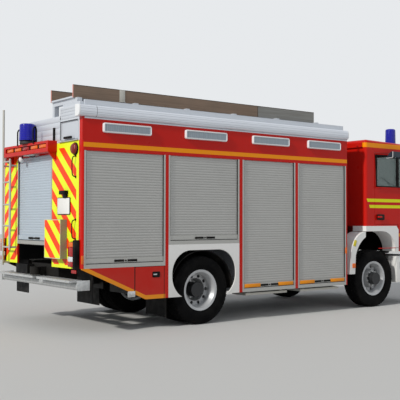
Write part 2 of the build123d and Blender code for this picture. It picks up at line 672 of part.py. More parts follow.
# Lamps: scene lamps over the bays, rear clusters, round rear lamps and side markers
lamp_length = 770
lamp_z = (cant_z - 193, cant_z - 62)
lamp_starts = (303, 1660, 2939, 4128)
lamp_depth = 38
cluster_z = (895, 1235)
clusters_y = ((-1132, -965), (1142, 1242))     # the left one stands outboard of the ladder
buffer_y = (-1200, -1132 - fit_gap)            # rubber buffer beside the right cluster
round_lamp = (1048, 2465, 95)                  # across, up and radius
with BuildPart() as body_lamps:
    for side in (-1, 1):
        for start in lamp_starts:
            with BuildSketch(Plane.XZ.offset(half_width + fit_gap if side < 0 else -half_width - fit_gap)):
                with Locations((rear_x + start + lamp_length / 2, sum(lamp_z) / 2)):
                    RectangleRounded(lamp_length, lamp_z[1] - lamp_z[0], 25)
            extrude(amount=lamp_depth if side < 0 else -lamp_depth)
        with BuildSketch(Plane.YZ.offset(rear_x - fit_gap)):
            with Locations((side * round_lamp[0], round_lamp[1])):
                Circle(round_lamp[2])
        extrude(amount=-60, taper=14)
    for y_range in clusters_y:
        box((rear_x - 60, rear_x - fit_gap), y_range, cluster_z)
    with BuildSketch(Plane.XY.offset(tail_z)):
        with BuildLine():
            Polyline(
                (rear_x - fit_gap, buffer_y[0]), (rear_x - 50, buffer_y[0]), (rear_x - 78, buffer_y[0] + 22),
                (rear_x - 78, buffer_y[1]), (rear_x - fit_gap, buffer_y[1]), close=True,
            )
        make_face()
    extrude(amount=cluster_z[1] + 25 - tail_z)
body_lamps.part.label = "body_lamps"
export_step(body_lamps.part, "parts/body_lamps.step")

# Roof tray: two side boards on a floor, carried on cross beams over the raised block
tray_y = (-990, -330)
tray_z = (raised_roof_z + 105, raised_roof_z + 280)
tray_x = (rear_x, rear_x + 4550)
tray_board = 22
beam_pitch = 900
tray_beam = 60
with BuildPart() as roof_tray:
    tray_floor_y = (tray_y[0] + tray_board + fit_gap, tray_y[1] - tray_board - fit_gap)
    box(tray_x, tray_floor_y, (tray_z[0], tray_z[0] + tray_board))
    for y_range in ((tray_y[0], tray_y[0] + tray_board), (tray_y[1] - tray_board, tray_y[1])):
        box(tray_x, y_range, tray_z)
    # Cross beams, each with a foot on the raised block and one on the main roof
    beam_z_range = (tray_z[0] - tray_beam, tray_z[0] - fit_gap)
    foot_top_z = beam_z_range[0] - fit_gap
    beam_x = tray_x[0] + 30
    while beam_x < tray_x[1]:
        box((beam_x, beam_x + 70), (tray_y[0] - 60, tray_y[1]), beam_z_range)
        box((beam_x, beam_x + 70), (rail_strip_y[1] + clearance, block_y[1] - 20),
            (raised_roof_z + fit_gap, foot_top_z))
        box((beam_x, beam_x + 70), (tray_y[1] - 60, tray_y[1]), (roof_z + fit_gap, foot_top_z))
        beam_x += beam_pitch
roof_tray.part.label = "roof_tray"
export_step(roof_tray.part, "parts/roof_tray.step")

# Ladder to the roof at the left, and the pull-out steps under the front bays
ladder_x = rear_x - 110
rail_tube = 17
ladder_rails = [(780, 1070, 2440), (1030, 835, 3200)]
rungs_z = (1110, 1430, 1750, 2090, 2400)
with BuildPart() as ladder_and_steps:
    for y, low, high in ladder_rails:
        with BuildSketch(Plane.XY.offset(low)):
            with Locations((ladder_x, y)):
                Circle(rail_tube)
        extrude(amount=high - low)
        for z in (low + 40, rungs_z[-1] - 60):
            box((ladder_x, rear_x - fit_gap), (y - 12, y + 12), (z - 12, z + 12))
    for z in rungs_z:
        with BuildSketch(Plane.XZ.offset(-ladder_rails[0][0])):
            with Locations((ladder_x, z)):
                Circle(13)
        extrude(amount=ladder_rails[0][0] - ladder_rails[1][0])
    for start, end, base in bays[2:]:
        for y_range in both_sides((inner_y - 330, half_width - 70)):
            box((start + 120, end - 120), y_range, (skirt_z - 62, skirt_z - 28))
            for x in (start + 200, end - 240):
                box((x, x + 40), (y_range[0] + 40, y_range[1] - 120),
                    (skirt_z - 28, skirt_z + sill_height - panel - fit_gap))
ladder_and_steps.part.label = "ladder_and_steps"
export_step(ladder_and_steps.part, "parts/ladder_and_steps.step")

# Warning bar over the rear shutter, with the beacon in its guard
bar_y = (-532, 937)
warning_z = (2460, 2618)
beacon_x = rear_x - 118
beacon_y = 290
beacon_radius = 95
guard_reach = 137          # from the beacon's middle to each side of its guard
guard_tube = 16
guard_x = (beacon_x - 107, rear_x - 60)
lamp_count = 5


def beacon_section(x, z, radius, height):
    """Half section of a beacon: a foot ring, and a lens that leans in to a domed top."""
    return [
        (x, z), (x + radius, z), (x + radius, z + 0.16 * height), (x + 0.88 * radius, z + 0.19 * height),
        (x + 0.8 * radius, z + 0.88 * height), (x + 0.72 * radius, z + 0.94 * height),
        (x + 0.55 * radius, z + 0.98 * height), (x, z + height),
    ]


with BuildPart() as warning_bar:
    box((rear_x - 140, rear_x - fit_gap), bar_y, warning_z)
    with Locations((rear_x - 140, sum(bar_y) / 2, sum(warning_z) / 2 + 12)):
        Box(60, bar_y[1] - bar_y[0] - 120, 62, mode=Mode.SUBTRACT)
    lamp_row_z = (sum(warning_z) / 2 - 20, sum(warning_z) / 2 + 44)
    lamp_row_y = (bar_y[0] + 60, bar_y[1] - 60)
    box((rear_x - 81, rear_x - 79), lamp_row_y, lamp_row_z)
    lamp_pitch = (lamp_row_y[1] - lamp_row_y[0]) / lamp_count
    for number in range(lamp_count):
        start = lamp_row_y[0] + number * lamp_pitch
        box((rear_x - 132, rear_x - 79), (start + 22, start + lamp_pitch - 22), lamp_row_z)
    with BuildSketch(Plane.XZ.offset(-beacon_y)):
        with BuildLine():
            Polyline(*beacon_section(beacon_x, warning_z[1] - 1, beacon_radius, 316), close=True)
        make_face()
    revolve(axis=Axis((beacon_x, beacon_y, 0), (0, 0, 1)))
    # Guard: a bent tube on each side of the beacon, from the bar's top forward to its rear edge
    for side in (-1, 1):
        with BuildSketch(Plane.XZ.offset(-beacon_y - side * guard_reach - guard_tube / 2)):
            with BuildLine():
                guard = Polyline(
                    (guard_x[0], warning_z[1] - 40), (guard_x[0], warning_z[1] + 180),
                    (guard_x[0] + 40, warning_z[1] + 245), (guard_x[1], warning_z[1] + 245),
                    (guard_x[1], warning_z[1] - 40), (guard_x[1] - guard_tube, warning_z[1] - 40),
                    (guard_x[1] - guard_tube, warning_z[1] + 245 - guard_tube),
                    (guard_x[0] + 48, warning_z[1] + 245 - guard_tube),
                    (guard_x[0] + guard_tube, warning_z[1] + 174),
                    (guard_x[0] + guard_tube, warning_z[1] - 40 + guard_tube),
                    (rear_x - 139, warning_z[1] - 40 + guard_tube), (rear_x - 139, warning_z[1] - 40), close=True,
                )
            make_face()
        extrude(amount=guard_tube)
warning_bar.part.label = "warning_bar"
export_step(warning_bar.part, "parts/warning_bar.step")

# Light mast in the gap behind the cab: a fixed column, a stage and the lamp head
mast_x = front_x + 200
mast_y = 0
mast_z = (rail_top_z + fit_gap, 2780)
column_radius = 70
stage_radius = 55
pole_radius = 42
mast_foot = 25
with BuildPart() as mast_column:
    with BuildSketch(Plane.XY.offset(mast_z[0])):
        with Locations((mast_x, mast_y)):
            Rectangle(180, 2 * rail_y + rail_width)
    extrude(amount=mast_foot)
    with BuildSketch(Plane.XY.offset(mast_z[0] + mast_foot + fit_gap)):
        with Locations((mast_x, mast_y)):
            Circle(column_radius)
    extrude(amount=mast_z[1] - mast_z[0] - mast_foot - fit_gap)
    with BuildSketch(Plane.XY.offset(mast_z[0] + 60)):
        with Locations((mast_x, mast_y)):
            Circle(stage_radius + fit_gap)
    extrude(amount=mast_z[1] - mast_z[0], mode=Mode.SUBTRACT)
mast_column.part.label = "mast_column"
export_step(mast_column.part, "parts/mast_column.step")

with BuildPart() as mast_stage:
    with BuildSketch(Plane.XY.offset(mast_z[0] + 60 + fit_gap)):
        with Locations((mast_x, mast_y)):
            Circle(stage_radius)
    extrude(amount=mast_z[1] + 25 - mast_z[0] - 60)
    with BuildSketch(Plane.XY.offset(mast_z[0] + 100)):
        with Locations((mast_x, mast_y)):
            Circle(pole_radius + fit_gap)
    extrude(amount=mast_z[1] - mast_z[0], mode=Mode.SUBTRACT)
mast_stage.part.label = "mast_stage"
export_step(mast_stage.part, "parts/mast_stage.step")

head_z = mast_z[1] + 45
flood_size = (120, 300, 200)
with BuildPart() as mast_head:
    with BuildSketch(Plane.XY.offset(mast_z[0] + 100 + fit_gap)):
        with Locations((mast_x, mast_y)):
            Circle(pole_radius)
    extrude(amount=head_z - mast_z[0] - 100)
    box((mast_x - 30, mast_x + 30), (mast_y - 620, mast_y + 620), (head_z, head_z + 50))
    for step in (-1.5, -0.5, 0.5, 1.5):
        with Locations((mast_x, mast_y + 330 * step, head_z + 50 + flood_size[2] / 2 - 30)):
            Box(*flood_size)
mast_head.part.label = "mast_head"
export_step(mast_head.part, "parts/mast_head.step")

# Cab shell: one side outline, hollowed by the panel's thickness, with its openings cut
cab_half = 1220
cab_wall = 45
cab_sill_z = cab_hinge_z + 30
cab_roof_z = 2936
door_x = (cab_rear_x + 234, cab_front_x - 430)
door_top_z = 2715
pillar_foot_z = 2050
pillar_lean = 95
roof_front_x = cab_front_x - 340
roof_fall = 36
screen_top = (cab_front_x - 215, 2790)
screen_foot = (cab_front_x - 30, 1780)
cab_outline = [
    (cab_rear_x, cab_floor_z), (cab_rear_x, cab_roof_z), (roof_front_x, cab_roof_z - roof_fall),
    screen_top, screen_foot, (cab_front_x, 1700), (cab_front_x, cab_sill_z),
    (foot_x, cab_sill_z), (foot_x, cab_floor_z),
]
inner_outline = [
    (cab_rear_x + cab_wall, cab_floor_z + cab_wall), (cab_rear_x + cab_wall, cab_roof_z - cab_wall),
    (roof_front_x - 15, cab_roof_z - roof_fall - cab_wall), (screen_top[0] - cab_wall, screen_top[1] - 12),
    (screen_foot[0] - cab_wall, screen_foot[1]), (cab_front_x - cab_wall, 1690),
    (cab_front_x - cab_wall, cab_sill_z + cab_wall), (foot_x + cab_wall, cab_sill_z + cab_wall),
    (foot_x + cab_wall, cab_floor_z + cab_wall),
]


def door_outline(gap):
    """Door opening seen from the side, taken in by a gap all round."""
    return [
        (door_x[0] + gap, cab_floor_z + 20 + gap), (foot_x + 20 + gap, cab_floor_z + 20 + gap),
        (foot_x + 20 + gap, cab_sill_z + 30 + gap), (door_x[1] - gap, cab_sill_z + 30 + gap),
        (door_x[1] - gap, pillar_foot_z), (door_x[1] - pillar_lean - gap, door_top_z - gap),
        (door_x[0] + gap, door_top_z - gap),
    ]


with BuildPart() as cab_shell:
    with BuildSketch(Plane.XZ.offset(-cab_half)):
        with BuildLine():
            Polyline(*cab_outline, close=True)
        make_face()
    extrude(amount=2 * cab_half)
    fillet(edges().filter_by(Axis.Y).filter_by_position(Axis.Z, cab_roof_z - 60, cab_roof_z + 1), 60)
    fillet(edges().filter_by(Axis.Z), 50)
    box((cab_rear_x - 38, cab_rear_x + 60), (-cab_half + 60, cab_half - 60), (cab_roof_z - 136, cab_roof_z - 62))
    with BuildSketch(Plane.XZ.offset(-(cab_half - cab_wall))):
        with BuildLine():
            Polyline(*inner_outline, close=True)
        make_face()
    extrude(amount=2 * (cab_half - cab_wall), mode=Mode.SUBTRACT)
    for side in (-1, 1):
        with BuildSketch(Plane.XZ.offset(-side * (cab_half + 1))):
            with BuildLine():
                Polyline(*door_outline(0), close=True)
            make_face()
        extrude(amount=side * (cab_wall + 2), mode=Mode.SUBTRACT)
    # Windscreen opening, cut square to the glass
    lean = Vector(screen_top[0] - screen_foot[0], 0, screen_top[1] - screen_foot[1])
    screen_plane = Plane(
        origin=((screen_top[0] + screen_foot[0]) / 2, 0, (screen_top[1] + screen_foot[1]) / 2),
        x_dir=(0, 1, 0), z_dir=Vector(0, 1, 0).cross(lean.normalized()),
    )
    screen_size = (2 * cab_half - 230, lean.length - 110)
    with BuildSketch(screen_plane):
        RectangleRounded(*screen_size, 70)
    extrude(amount=150, both=True, mode=Mode.SUBTRACT)
    # Ears under the floor, round the hinge pins
    for side in (-1, 1):
        with BuildSketch(Plane.XZ.offset(-side * rail_y - ear_width / 2)):
            with Locations((cab_hinge_x, cab_hinge_z)):
                Circle(24)
            with Locations((cab_hinge_x, (cab_hinge_z + cab_sill_z) / 2)):
                Rectangle(48, cab_sill_z - cab_hinge_z)
        extrude(amount=ear_width)
cab_shell.part.label = "cab_shell"
export_step(cab_shell.part, "parts/cab_shell.step")

glass = 8
with BuildPart() as windscreen:
    with BuildSketch(screen_plane.offset(-12)):
        RectangleRounded(screen_size[0] - 2 * fit_gap, screen_size[1] - 2 * fit_gap, 70)
    extrude(amount=-glass)
windscreen.part.label = "windscreen"
export_step(windscreen.part, "parts/windscreen.step")

# Cab fenders: white arches that go up with the cab
fender_y = (940, 1245)
with BuildPart() as cab_fenders:
    for side in (-1, 1):
        with BuildSketch(Plane.XZ.offset(1245 if side < 0 else -1245)):
            with BuildLine():
                fender_x = guard_split_x + clearance
                Polyline(
                    (foot_x - 2, cab_floor_z - 70), (foot_x - 60, cab_floor_z - fit_gap),
                    (fender_x, cab_floor_z - fit_gap), (fender_x, cab_floor_z - 92),
                    (front_axle_x + 160, cab_floor_z - 92),
                )
                ThreePointArc(
                    (front_axle_x + 160, cab_floor_z - 92), (front_axle_x + 432, 1215), (front_axle_x + 540, 960),
                )
                Polyline((front_axle_x + 540, 960), (foot_x - 2, 960), (foot_x - 2, cab_floor_z - 70))
            make_face()
        extrude(amount=-305 if side < 0 else 305)
cab_fenders.part.label = "cab_fenders"
export_step(cab_fenders.part, "parts/cab_fenders.step")

# Cab interior: dashboard, steering wheel on its column, engine tunnel and seats
dash_x = cab_front_x - 130
floor_top = cab_floor_z + cab_wall + fit_gap
seat_x = cab_rear_x + 260
with BuildPart() as cab_interior:
    box((foot_x + 300, dash_x), (-1100, 1100), (1560, 1790))
    box((dash_x - 60, dash_x), (-1000, 1000), (cab_sill_z + cab_wall + fit_gap, 1560))
    for y in (-650, 650):
        box((seat_x, seat_x + 500), (y - 250, y + 250), (floor_top + 200, floor_top + 330))
        box((seat_x + 60, seat_x + 440), (y - 190, y + 190), (floor_top, floor_top + 200))
        with BuildSketch(Plane.XZ.offset(-y - 240)):
            with BuildLine():
                Polyline(
                    (seat_x + 90, floor_top + 330), (seat_x - 60, floor_top + 1000), (seat_x - 150, floor_top + 1000),
                    (seat_x - 20, floor_top + 250), (seat_x + 90, floor_top + 250), close=True,
                )
            make_face()
        extrude(amount=480)
    # Steering wheel on the left, square to its leaning column
    wheel_centre = Vector(foot_x + 170, 650, 1900)
    wheel_plane = Plane(origin=wheel_centre, x_dir=(0, 1, 0), z_dir=(-0.5, 0, 0.87))
    with BuildSketch(Plane(origin=wheel_centre, x_dir=(0, 1, 0), z_dir=(0.87, 0, 0.5))):
        with Locations((215, 0)):
            RegularPolygon(16, 6)
    revolve(axis=Axis(wheel_centre, wheel_plane.z_dir))
    with Locations(wheel_plane):
        Box(430, 40, 18)
        Cylinder(radius=28, height=420, align=(Align.CENTER, Align.CENTER, Align.MAX))
cab_interior.part.label = "cab_interior"
export_step(cab_interior.part, "parts/cab_interior.step")

# Cab fittings: mirrors, grille, headlamps, sun visor and roof beacons
front_beacon_x = cab_rear_x + 1260
front_beacon_y = 740
front_beacon_radius = 80
roof_slope = roof_fall / (roof_front_x - cab_rear_x)
with BuildPart() as cab_fittings:
    for side in (-1, 1):
        low, high = sorted((side * 1260, side * 1440))
        box((cab_front_x - 330, cab_front_x - 270), (low, high), (1900, 2330))
        low, high = sorted((side * (cab_half + fit_gap), side * (1260 - fit_gap)))
        for z in (1950, 2280):
            box((cab_front_x - 310, cab_front_x - 285), (low, high), (z, z + 25))
        beacon_z = cab_roof_z - roof_slope * (front_beacon_x - front_beacon_radius - cab_rear_x) + fit_gap
        with BuildSketch(Plane.XZ.offset(-side * front_beacon_y)):
            with BuildLine():
                Polyline(*beacon_section(front_beacon_x, beacon_z, front_beacon_radius, 335), close=True)
            make_face()
        revolve(axis=Axis((front_beacon_x, side * front_beacon_y, 0), (0, 0, 1)))
        low, high = sorted((side * 780, side * 1120))
        box((cab_front_x + fit_gap, cab_front_x + 40), (low, high), (1010, 1190))
    for z in (1020, 1160, 1300, 1440):
        box((cab_front_x + fit_gap, cab_front_x + 28), (-740, 740), (z, z + 105))
cab_fittings.part.label = "cab_fittings"
export_step(cab_fittings.part, "parts/cab_fittings.step")

# Cab doors with their glass seated in the frame
door_wall = 42
hinge_pin = 11
hinge_heights = (1150, 1500)
window_z = (2130, door_top_z - 60)
kerb_mirror_x = (cab_front_x - 1150, cab_front_x - 800)
for side, side_name in ((-1, "right"), (1, "left")):
    door_face = Plane.XZ.offset(cab_half if side < 0 else -cab_half)
    inward = -1 if side < 0 else 1
    with BuildPart() as door:
        with BuildSketch(door_face):
            with BuildLine():
                Polyline(*door_outline(clearance), close=True)
            make_face()
            with BuildLine():
                Polyline(
                    (door_x[0] + 45, window_z[0]), (door_x[1] - 75, window_z[0]),
                    (door_x[1] - pillar_lean - 45, window_z[1]), (door_x[0] + 45, window_z[1]), close=True,
                )
            make_face(mode=Mode.SUBTRACT)
        extrude(amount=inward * door_wall)
        with BuildSketch(door_face.offset(inward * 16)):
            with BuildLine():
                Polyline(
                    (door_x[0] + 46, window_z[0] + 1), (door_x[1] - 76, window_z[0] + 1),
                    (door_x[1] - pillar_lean - 46, window_z[1] - 1), (door_x[0] + 46, window_z[1] - 1), close=True,
                )
            make_face()
        extrude(amount=inward * glass)
        with Locations(*[(door_x[1], side * (cab_half + hinge_pin + fit_gap), z) for z in hinge_heights]):
            Cylinder(radius=hinge_pin, height=70)
        with Locations(*[(door_x[1] - 35, side * (cab_half + 4), z) for z in hinge_heights]):
            Box(60, 8, 50)
        if side < 0:
            # Kerb mirror on an arm from the frame over the window
            with BuildSketch(Plane.YZ.offset(kerb_mirror_x[0])):
                with BuildLine():
                    Polyline(
                        (-cab_half - 200, 2735), (-cab_half - 190, 2640), (-cab_half - 55, 2622),
                        (-cab_half - 55, 2640), (-cab_half - 150, 2735), close=True,
                    )
                make_face()
            extrude(amount=kerb_mirror_x[1] - kerb_mirror_x[0])
            box((sum(kerb_mirror_x) / 2 - 20, sum(kerb_mirror_x) / 2 + 20), (-cab_half - 120, -cab_half + 5),
                (window_z[1] + 8, window_z[1] + 32))
    door.part.label = f"cab_door_{side_name}"
    export_step(door.part, f"parts/cab_door_{side_name}.step")

# Front knuckles: an eye above and below the beam's end, and the spindle for the wheel
hub_bore = 50
for side, side_name in ((-1, "right"), (1, "left")):
    with BuildPart() as knuckle:
        for z in (axle_z - 60 - fit_gap - 45, axle_z + 60 + fit_gap):
            with Locations((front_axle_x, side * kingpin_y, z)):
                Cylinder(radius=44, height=45, align=(Align.CENTER, Align.CENTER, Align.MIN))
        low, high = sorted((side * (kingpin_y + 47), side * (kingpin_y + 80)))
        box((front_axle_x - 50, front_axle_x + 50), (low, high), (axle_z - 105, axle_z + 105))
        for z_range in ((axle_z - 105, axle_z - 60 - fit_gap), (axle_z + 60 + fit_gap, axle_z + 105)):
            near, far = sorted((side * kingpin_y, side * (kingpin_y + 60)))
            box((front_axle_x - 40, front_axle_x + 40), (near, far), z_range)
        with BuildSketch(Plane.XZ.offset(-side * (kingpin_y + 79))):
            with Locations((front_axle_x, axle_z)):
                Circle(hub_bore - fit_gap)
        extrude(amount=-side * 130)
    knuckle.part.label = f"knuckle_{side_name}"
    export_step(knuckle.part, f"parts/knuckle_{side_name}.step")


def tyre_section(y):
    """Half section of a tyre standing on its rim's seats, as points across and out from the axle."""
    half = tyre_width / 2
    seat = rim_radius - 22
    bead = rim_width / 2 - 10 - fit_gap
    outer = [
        (0.62 * half, seat), (bead, seat), (bead, rim_radius + 3), (half + 4, seat + 105),
        (half - 3, tyre_radius - 45), (half - 28, tyre_radius),
    ]
    inner = [(0.6 * half, tyre_radius - 45)]
    right = [(y + across, out) for across, out in outer]
    left = [(y - across, out) for across, out in reversed(outer)]
    lining = [(y - across, out) for across, out in reversed(inner)]
    return right + left + lining + [(y + across, out) for across, out in inner]


def rim_section(y):
    """Half section of a rim's rolled barrel, as points across and out from the axle."""
    half = rim_width / 2
    seat = rim_radius - 22 - fit_gap
    outer = [(half, rim_radius), (half - 10, seat), (half - 60, seat), (35, seat - 40)]
    inner = [(40, seat - 54), (half - 4, seat - 14)]
    left = [(y - across, out) for across, out in outer]
    right = [(y + across, out) for across, out in reversed(outer)]
    return left + right + [(y + across, out) for across, out in reversed(inner)] + \
        [(y - across, out) for across, out in inner]


# Wheels: each rim is a rolled barrel with a dished disc and ten hand holes.
# Columns: name, axle, side, wheel rows across, depth of the dish outward, start and end of the hub
hand_holes = 10
disc = 14
wheel_table = []
for side, side_name in ((-1, "right"), (1, "left")):
    wheel_table.append((f"front_{side_name}", front_axle_x, side, (front_wheel_y,), 78, kingpin_y + 88,
                        front_wheel_y + 185))
    wheel_table.append((f"rear_{side_name}", rear_axle_x, side, (rear_wheel_y, rear_wheel_y - twin_spacing),
                        -twin_spacing / 2 + disc, rear_wheel_y - twin_spacing - 60, rear_wheel_y + 40))

for name, x, side, rows, dish, hub_start, hub_end in wheel_table:
    axle_line = Axis((x, 0, axle_z), (0, 1, 0))
    profile_plane = Plane(origin=(x, 0, axle_z), x_dir=(0, 1, 0), z_dir=(1, 0, 0))
    with BuildPart() as tyres:
        for row in rows:
            with BuildSketch(profile_plane):
                with BuildLine():
                    Polyline(*tyre_section(side * row), close=True)
                make_face()
            revolve(axis=axle_line)
    tyres.part.label = f"tyre_{name}"
    export_step(tyres.part, f"parts/tyre_{name}.step")

    with BuildPart() as rims:
        for row, turn in zip(rows, (1, -1)):
            with BuildSketch(profile_plane):
                with BuildLine():
                    Polyline(*rim_section(side * row), close=True)
                make_face()
            revolve(axis=axle_line)
            # Flat ring with the hand holes, and a cone from it to the flange that is bolted to the hub
            foot = side * (row + turn * 0.1 * dish)
            face = side * (row + turn * dish)
            back = -side * turn * disc
            bend = disc / 2 if dish > 0 else -disc / 2
            with BuildSketch(profile_plane):
                with BuildLine():
                    Polyline(
                        (foot, rim_radius - 68), (foot, rim_radius - 132), (face, rim_radius - 160), (face, 60),
                        (face + back, 60), (face + back, rim_radius - 160 - bend),
                        (foot + back, rim_radius - 132 - bend), (foot + back, rim_radius - 68), close=True,
                    )
                make_face()
            revolve(axis=axle_line)
        with BuildSketch(Plane.XZ.offset(-side * (rows[0] + dish) - 150)):
            with Locations((x, axle_z)):
                with PolarLocations(rim_radius - 100, hand_holes):
                    Circle(25)
        extrude(amount=300, mode=Mode.SUBTRACT)
        # Hub over the spindle
        with BuildSketch(Plane.XZ.offset(-side * hub_start)):
            with Locations((x, axle_z)):
                Circle(105)
        extrude(amount=-side * (hub_end - hub_start))
        with BuildSketch(Plane.XZ.offset(-side * (hub_start - 5))):
            with Locations((x, axle_z)):
                Circle(hub_bore if len(rows) == 1 else spindle_radius + fit_gap)
        extrude(amount=-side * (hub_end - 30 - hub_start), mode=Mode.SUBTRACT)
    rims.part.label = f"rim_{name}"
    export_step(rims.part, f"parts/rim_{name}.step")
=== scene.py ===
from functools import partialmethod
from math import cos, pi, radians, sin

import bmesh
import bpy
import numpy as np
from mathutils import Matrix, Vector


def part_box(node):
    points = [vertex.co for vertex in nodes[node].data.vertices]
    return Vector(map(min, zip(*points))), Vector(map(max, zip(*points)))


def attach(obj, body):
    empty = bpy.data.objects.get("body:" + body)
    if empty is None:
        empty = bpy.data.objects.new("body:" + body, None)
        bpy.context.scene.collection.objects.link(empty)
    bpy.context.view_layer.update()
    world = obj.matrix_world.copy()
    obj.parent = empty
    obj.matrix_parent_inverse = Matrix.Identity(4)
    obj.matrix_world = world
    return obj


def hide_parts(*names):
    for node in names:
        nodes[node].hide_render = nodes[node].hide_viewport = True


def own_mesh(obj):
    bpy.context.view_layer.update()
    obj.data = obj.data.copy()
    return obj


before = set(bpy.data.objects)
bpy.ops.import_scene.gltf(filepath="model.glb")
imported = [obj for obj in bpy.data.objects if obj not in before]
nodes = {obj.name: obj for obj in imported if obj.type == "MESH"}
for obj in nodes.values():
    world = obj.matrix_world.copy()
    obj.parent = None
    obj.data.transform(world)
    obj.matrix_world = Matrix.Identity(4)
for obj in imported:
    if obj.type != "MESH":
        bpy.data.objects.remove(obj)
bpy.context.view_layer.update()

scene = bpy.context.scene
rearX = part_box("side_frames")[0].x      # the body's rear wall: every X below counts from it
rearSkin, sideSkin = -0.0003, -1.2503   # X and Y just clear of the rear wall and of the right side
rearward, sideways, ahead = (-1, 0, 0), (0, -1, 0), (1, 0, 0)
print("frame loaded", len(nodes), "nodes")


def boxAt(node):
    # a node's lowest and highest corners, X from the rear wall
    return tuple(np.array(corner, float) - [rearX, 0, 0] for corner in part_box(node))


# Shapes. Each function gives the points and faces of closed shells.

def gridFaces(rows, cols, closeRows=False):
    # quads between neighbouring rows of a grid whose columns close round
    r = np.arange(rows if closeRows else rows - 1)
    r, c = np.meshgrid(r, np.arange(cols), indexing="ij")
    r2, c2 = (r + 1) % rows, (c + 1) % cols
    return np.stack([r * cols + c, r * cols + c2, r2 * cols + c2, r2 * cols + c], -1).reshape(-1, 4).tolist()


def shell(rows, cols):
    # a grid closed by flat faces over its first and last row
    return gridFaces(rows, cols) + [list(range(cols))[::-1], list(range((rows - 1) * cols, rows * cols))]


def turns(count):
    # even angles of one turn
    return np.linspace(0, 2 * pi, count, endpoint=False)


def sweep(profile, stations):
    # point = station's origin + a * its first direction + b * its second, for each (a, b) of the profile
    profile = np.asarray(profile, float)
    origin, first, second = (np.asarray([s[k] for s in stations], float)[:, None, :] for k in range(3))
    points = (origin + profile[None, :, 0:1] * first + profile[None, :, 1:2] * second).reshape(-1, 3)
    return points, shell(len(stations), len(profile))


def roundRect(width, height, radius, steps=4):
    # quarter circles about the four inner corners of a rectangle
    radius = min(radius, 0.49 * width, 0.49 * height)
    angle = np.linspace(0, pi / 2, steps)
    arc = np.stack([np.cos(angle), np.sin(angle)], -1) * radius
    quarters = [np.array([[cos(q), -sin(q)], [sin(q), cos(q)]]) for q in (0, pi / 2, pi, 3 * pi / 2)]
    corners = np.array([[1, 1], [-1, 1], [-1, -1], [1, -1]]) * [width / 2 - radius, height / 2 - radius]
    return np.concatenate([corner + arc @ turn.T for corner, turn in zip(corners, quarters)])


def stack(centre, out, size, rows, up=(0, 0, 1)):
    # rounded rectangles laid one after another along out; each row is (inset, corner radius, depth, rise)
    # and its width and height are the size less the inset
    out, up = np.array(out, float), np.array(up, float)
    side = np.cross(up, out)
    loops = []
    for inset, radius, depth, *rise in rows:
        shape = roundRect(*(np.array(size) - inset), radius)
        place = np.array(centre, float) + out * depth + up * sum(rise)
        loops.append(place + shape[:, :1] * side + shape[:, 1:] * up)
    return np.concatenate(loops), shell(len(loops), len(loops[0]))


def plateOf(part, out, up=(0, 0, 1)):
    # the stack that a settings dictionary holds
    return stack(part["place"], out, part["size"], part["rows"], up)


def bar(low, high, radius=0.004, along=0):
    # rounded rectangle carried along one axis, drawn in by the radius at both ends
    low, high = np.minimum(low, high).astype(float), np.maximum(low, high).astype(float)
    size, middle = high - low, (high + low) / 2
    a, b = (along + 1) % 3, (along + 2) % 3
    radius = min(radius, 0.3 * size.min())
    eye = np.eye(3)
    ends = [(low[along] + share * radius, inset) for share, inset in ((0.0, 1.0), (0.35, 0.3), (1.0, 0.0))]
    ends += [(low[along] + high[along] - place, inset) for place, inset in ends[::-1]]
    stations = []
    for place, inset in ends:
        point = middle.copy()
        point[along] = place
        drawn = 1.2 * radius * inset
        stations.append((point, eye[a] * (1 - drawn / size[a]), eye[b] * (1 - drawn / size[b])))
    return sweep(roundRect(size[a], size[b], radius, steps=3), stations)


def tube(path, radius, sides=10):
    # circle carried along a path, square to the mean of the two runs that meet at each point
    path = np.asarray(path, float)
    runs = np.diff(path, axis=0)
    unit = runs / np.linalg.norm(runs, axis=1)[:, None]
    tangent = np.vstack([unit[:1], unit[:-1] + unit[1:], unit[-1:]])
    tangent /= np.linalg.norm(tangent, axis=1)[:, None]
    first = np.cross([0.0, 0.0, 1.0] if abs(tangent[0][2]) < 0.9 else [1.0, 0.0, 0.0], tangent[0])
    stations = []
    for point, along in zip(path, tangent):
        first = first - along * first.dot(along)
        first /= np.linalg.norm(first)
        stations.append((point, first, np.cross(along, first)))
    angle = turns(sides)
    return sweep(np.stack([np.cos(angle), np.sin(angle)], -1) * radius, stations)


def bent(path, radius, steps=4):
    # each inner corner of a path becomes a curve through (1-t)^2, 2t(1-t), t^2 of its two run points and itself
    path = [np.array(p, float) for p in path]
    share = np.linspace(0, 1, steps)[:, None]
    points = [path[0][None]]
    for before, corner, after in zip(path, path[1:], path[2:]):
        back, on = before - corner, after - corner
        reach = min(radius, 0.45 * np.linalg.norm(back), 0.45 * np.linalg.norm(on))
        start = corner + back / np.linalg.norm(back) * reach
        end = corner + on / np.linalg.norm(on) * reach
        points.append((1 - share) ** 2 * start + 2 * share * (1 - share) * corner + share ** 2 * end)
    return np.concatenate(points + [path[-1][None]])


def lathe(profile, centre, axis=(0, 0, 1), sides=48, flutes=0, depth=0.0):
    # each (radius, height) goes round the axis; flutes make the radius swell by depth * cos(flutes * angle)
    axis = Vector(axis).normalized()
    side = axis.orthogonal().normalized()
    other = axis.cross(side)
    angle = turns(sides)
    profile = np.asarray(profile, float)
    ring = np.cos(angle)[:, None] * np.array(side) + np.sin(angle)[:, None] * np.array(other)
    radius = profile[:, :1] * (1 + depth * np.cos(flutes * angle))[None]
    height = profile[:, 1][:, None, None] * np.array(axis)
    points = np.array(centre, float) + radius[:, :, None] * ring[None] + height
    return points.reshape(-1, 3), shell(len(profile), sides)


def prism(outline, start, end, plane="xz"):
    # flat outline moved square to its plane
    first, second, out = np.eye(3)[{"xz": (0, 2, 1), "xy": (0, 1, 2)}[plane],]
    return sweep(outline, [(out * shift, first, second) for shift in (start, end)])


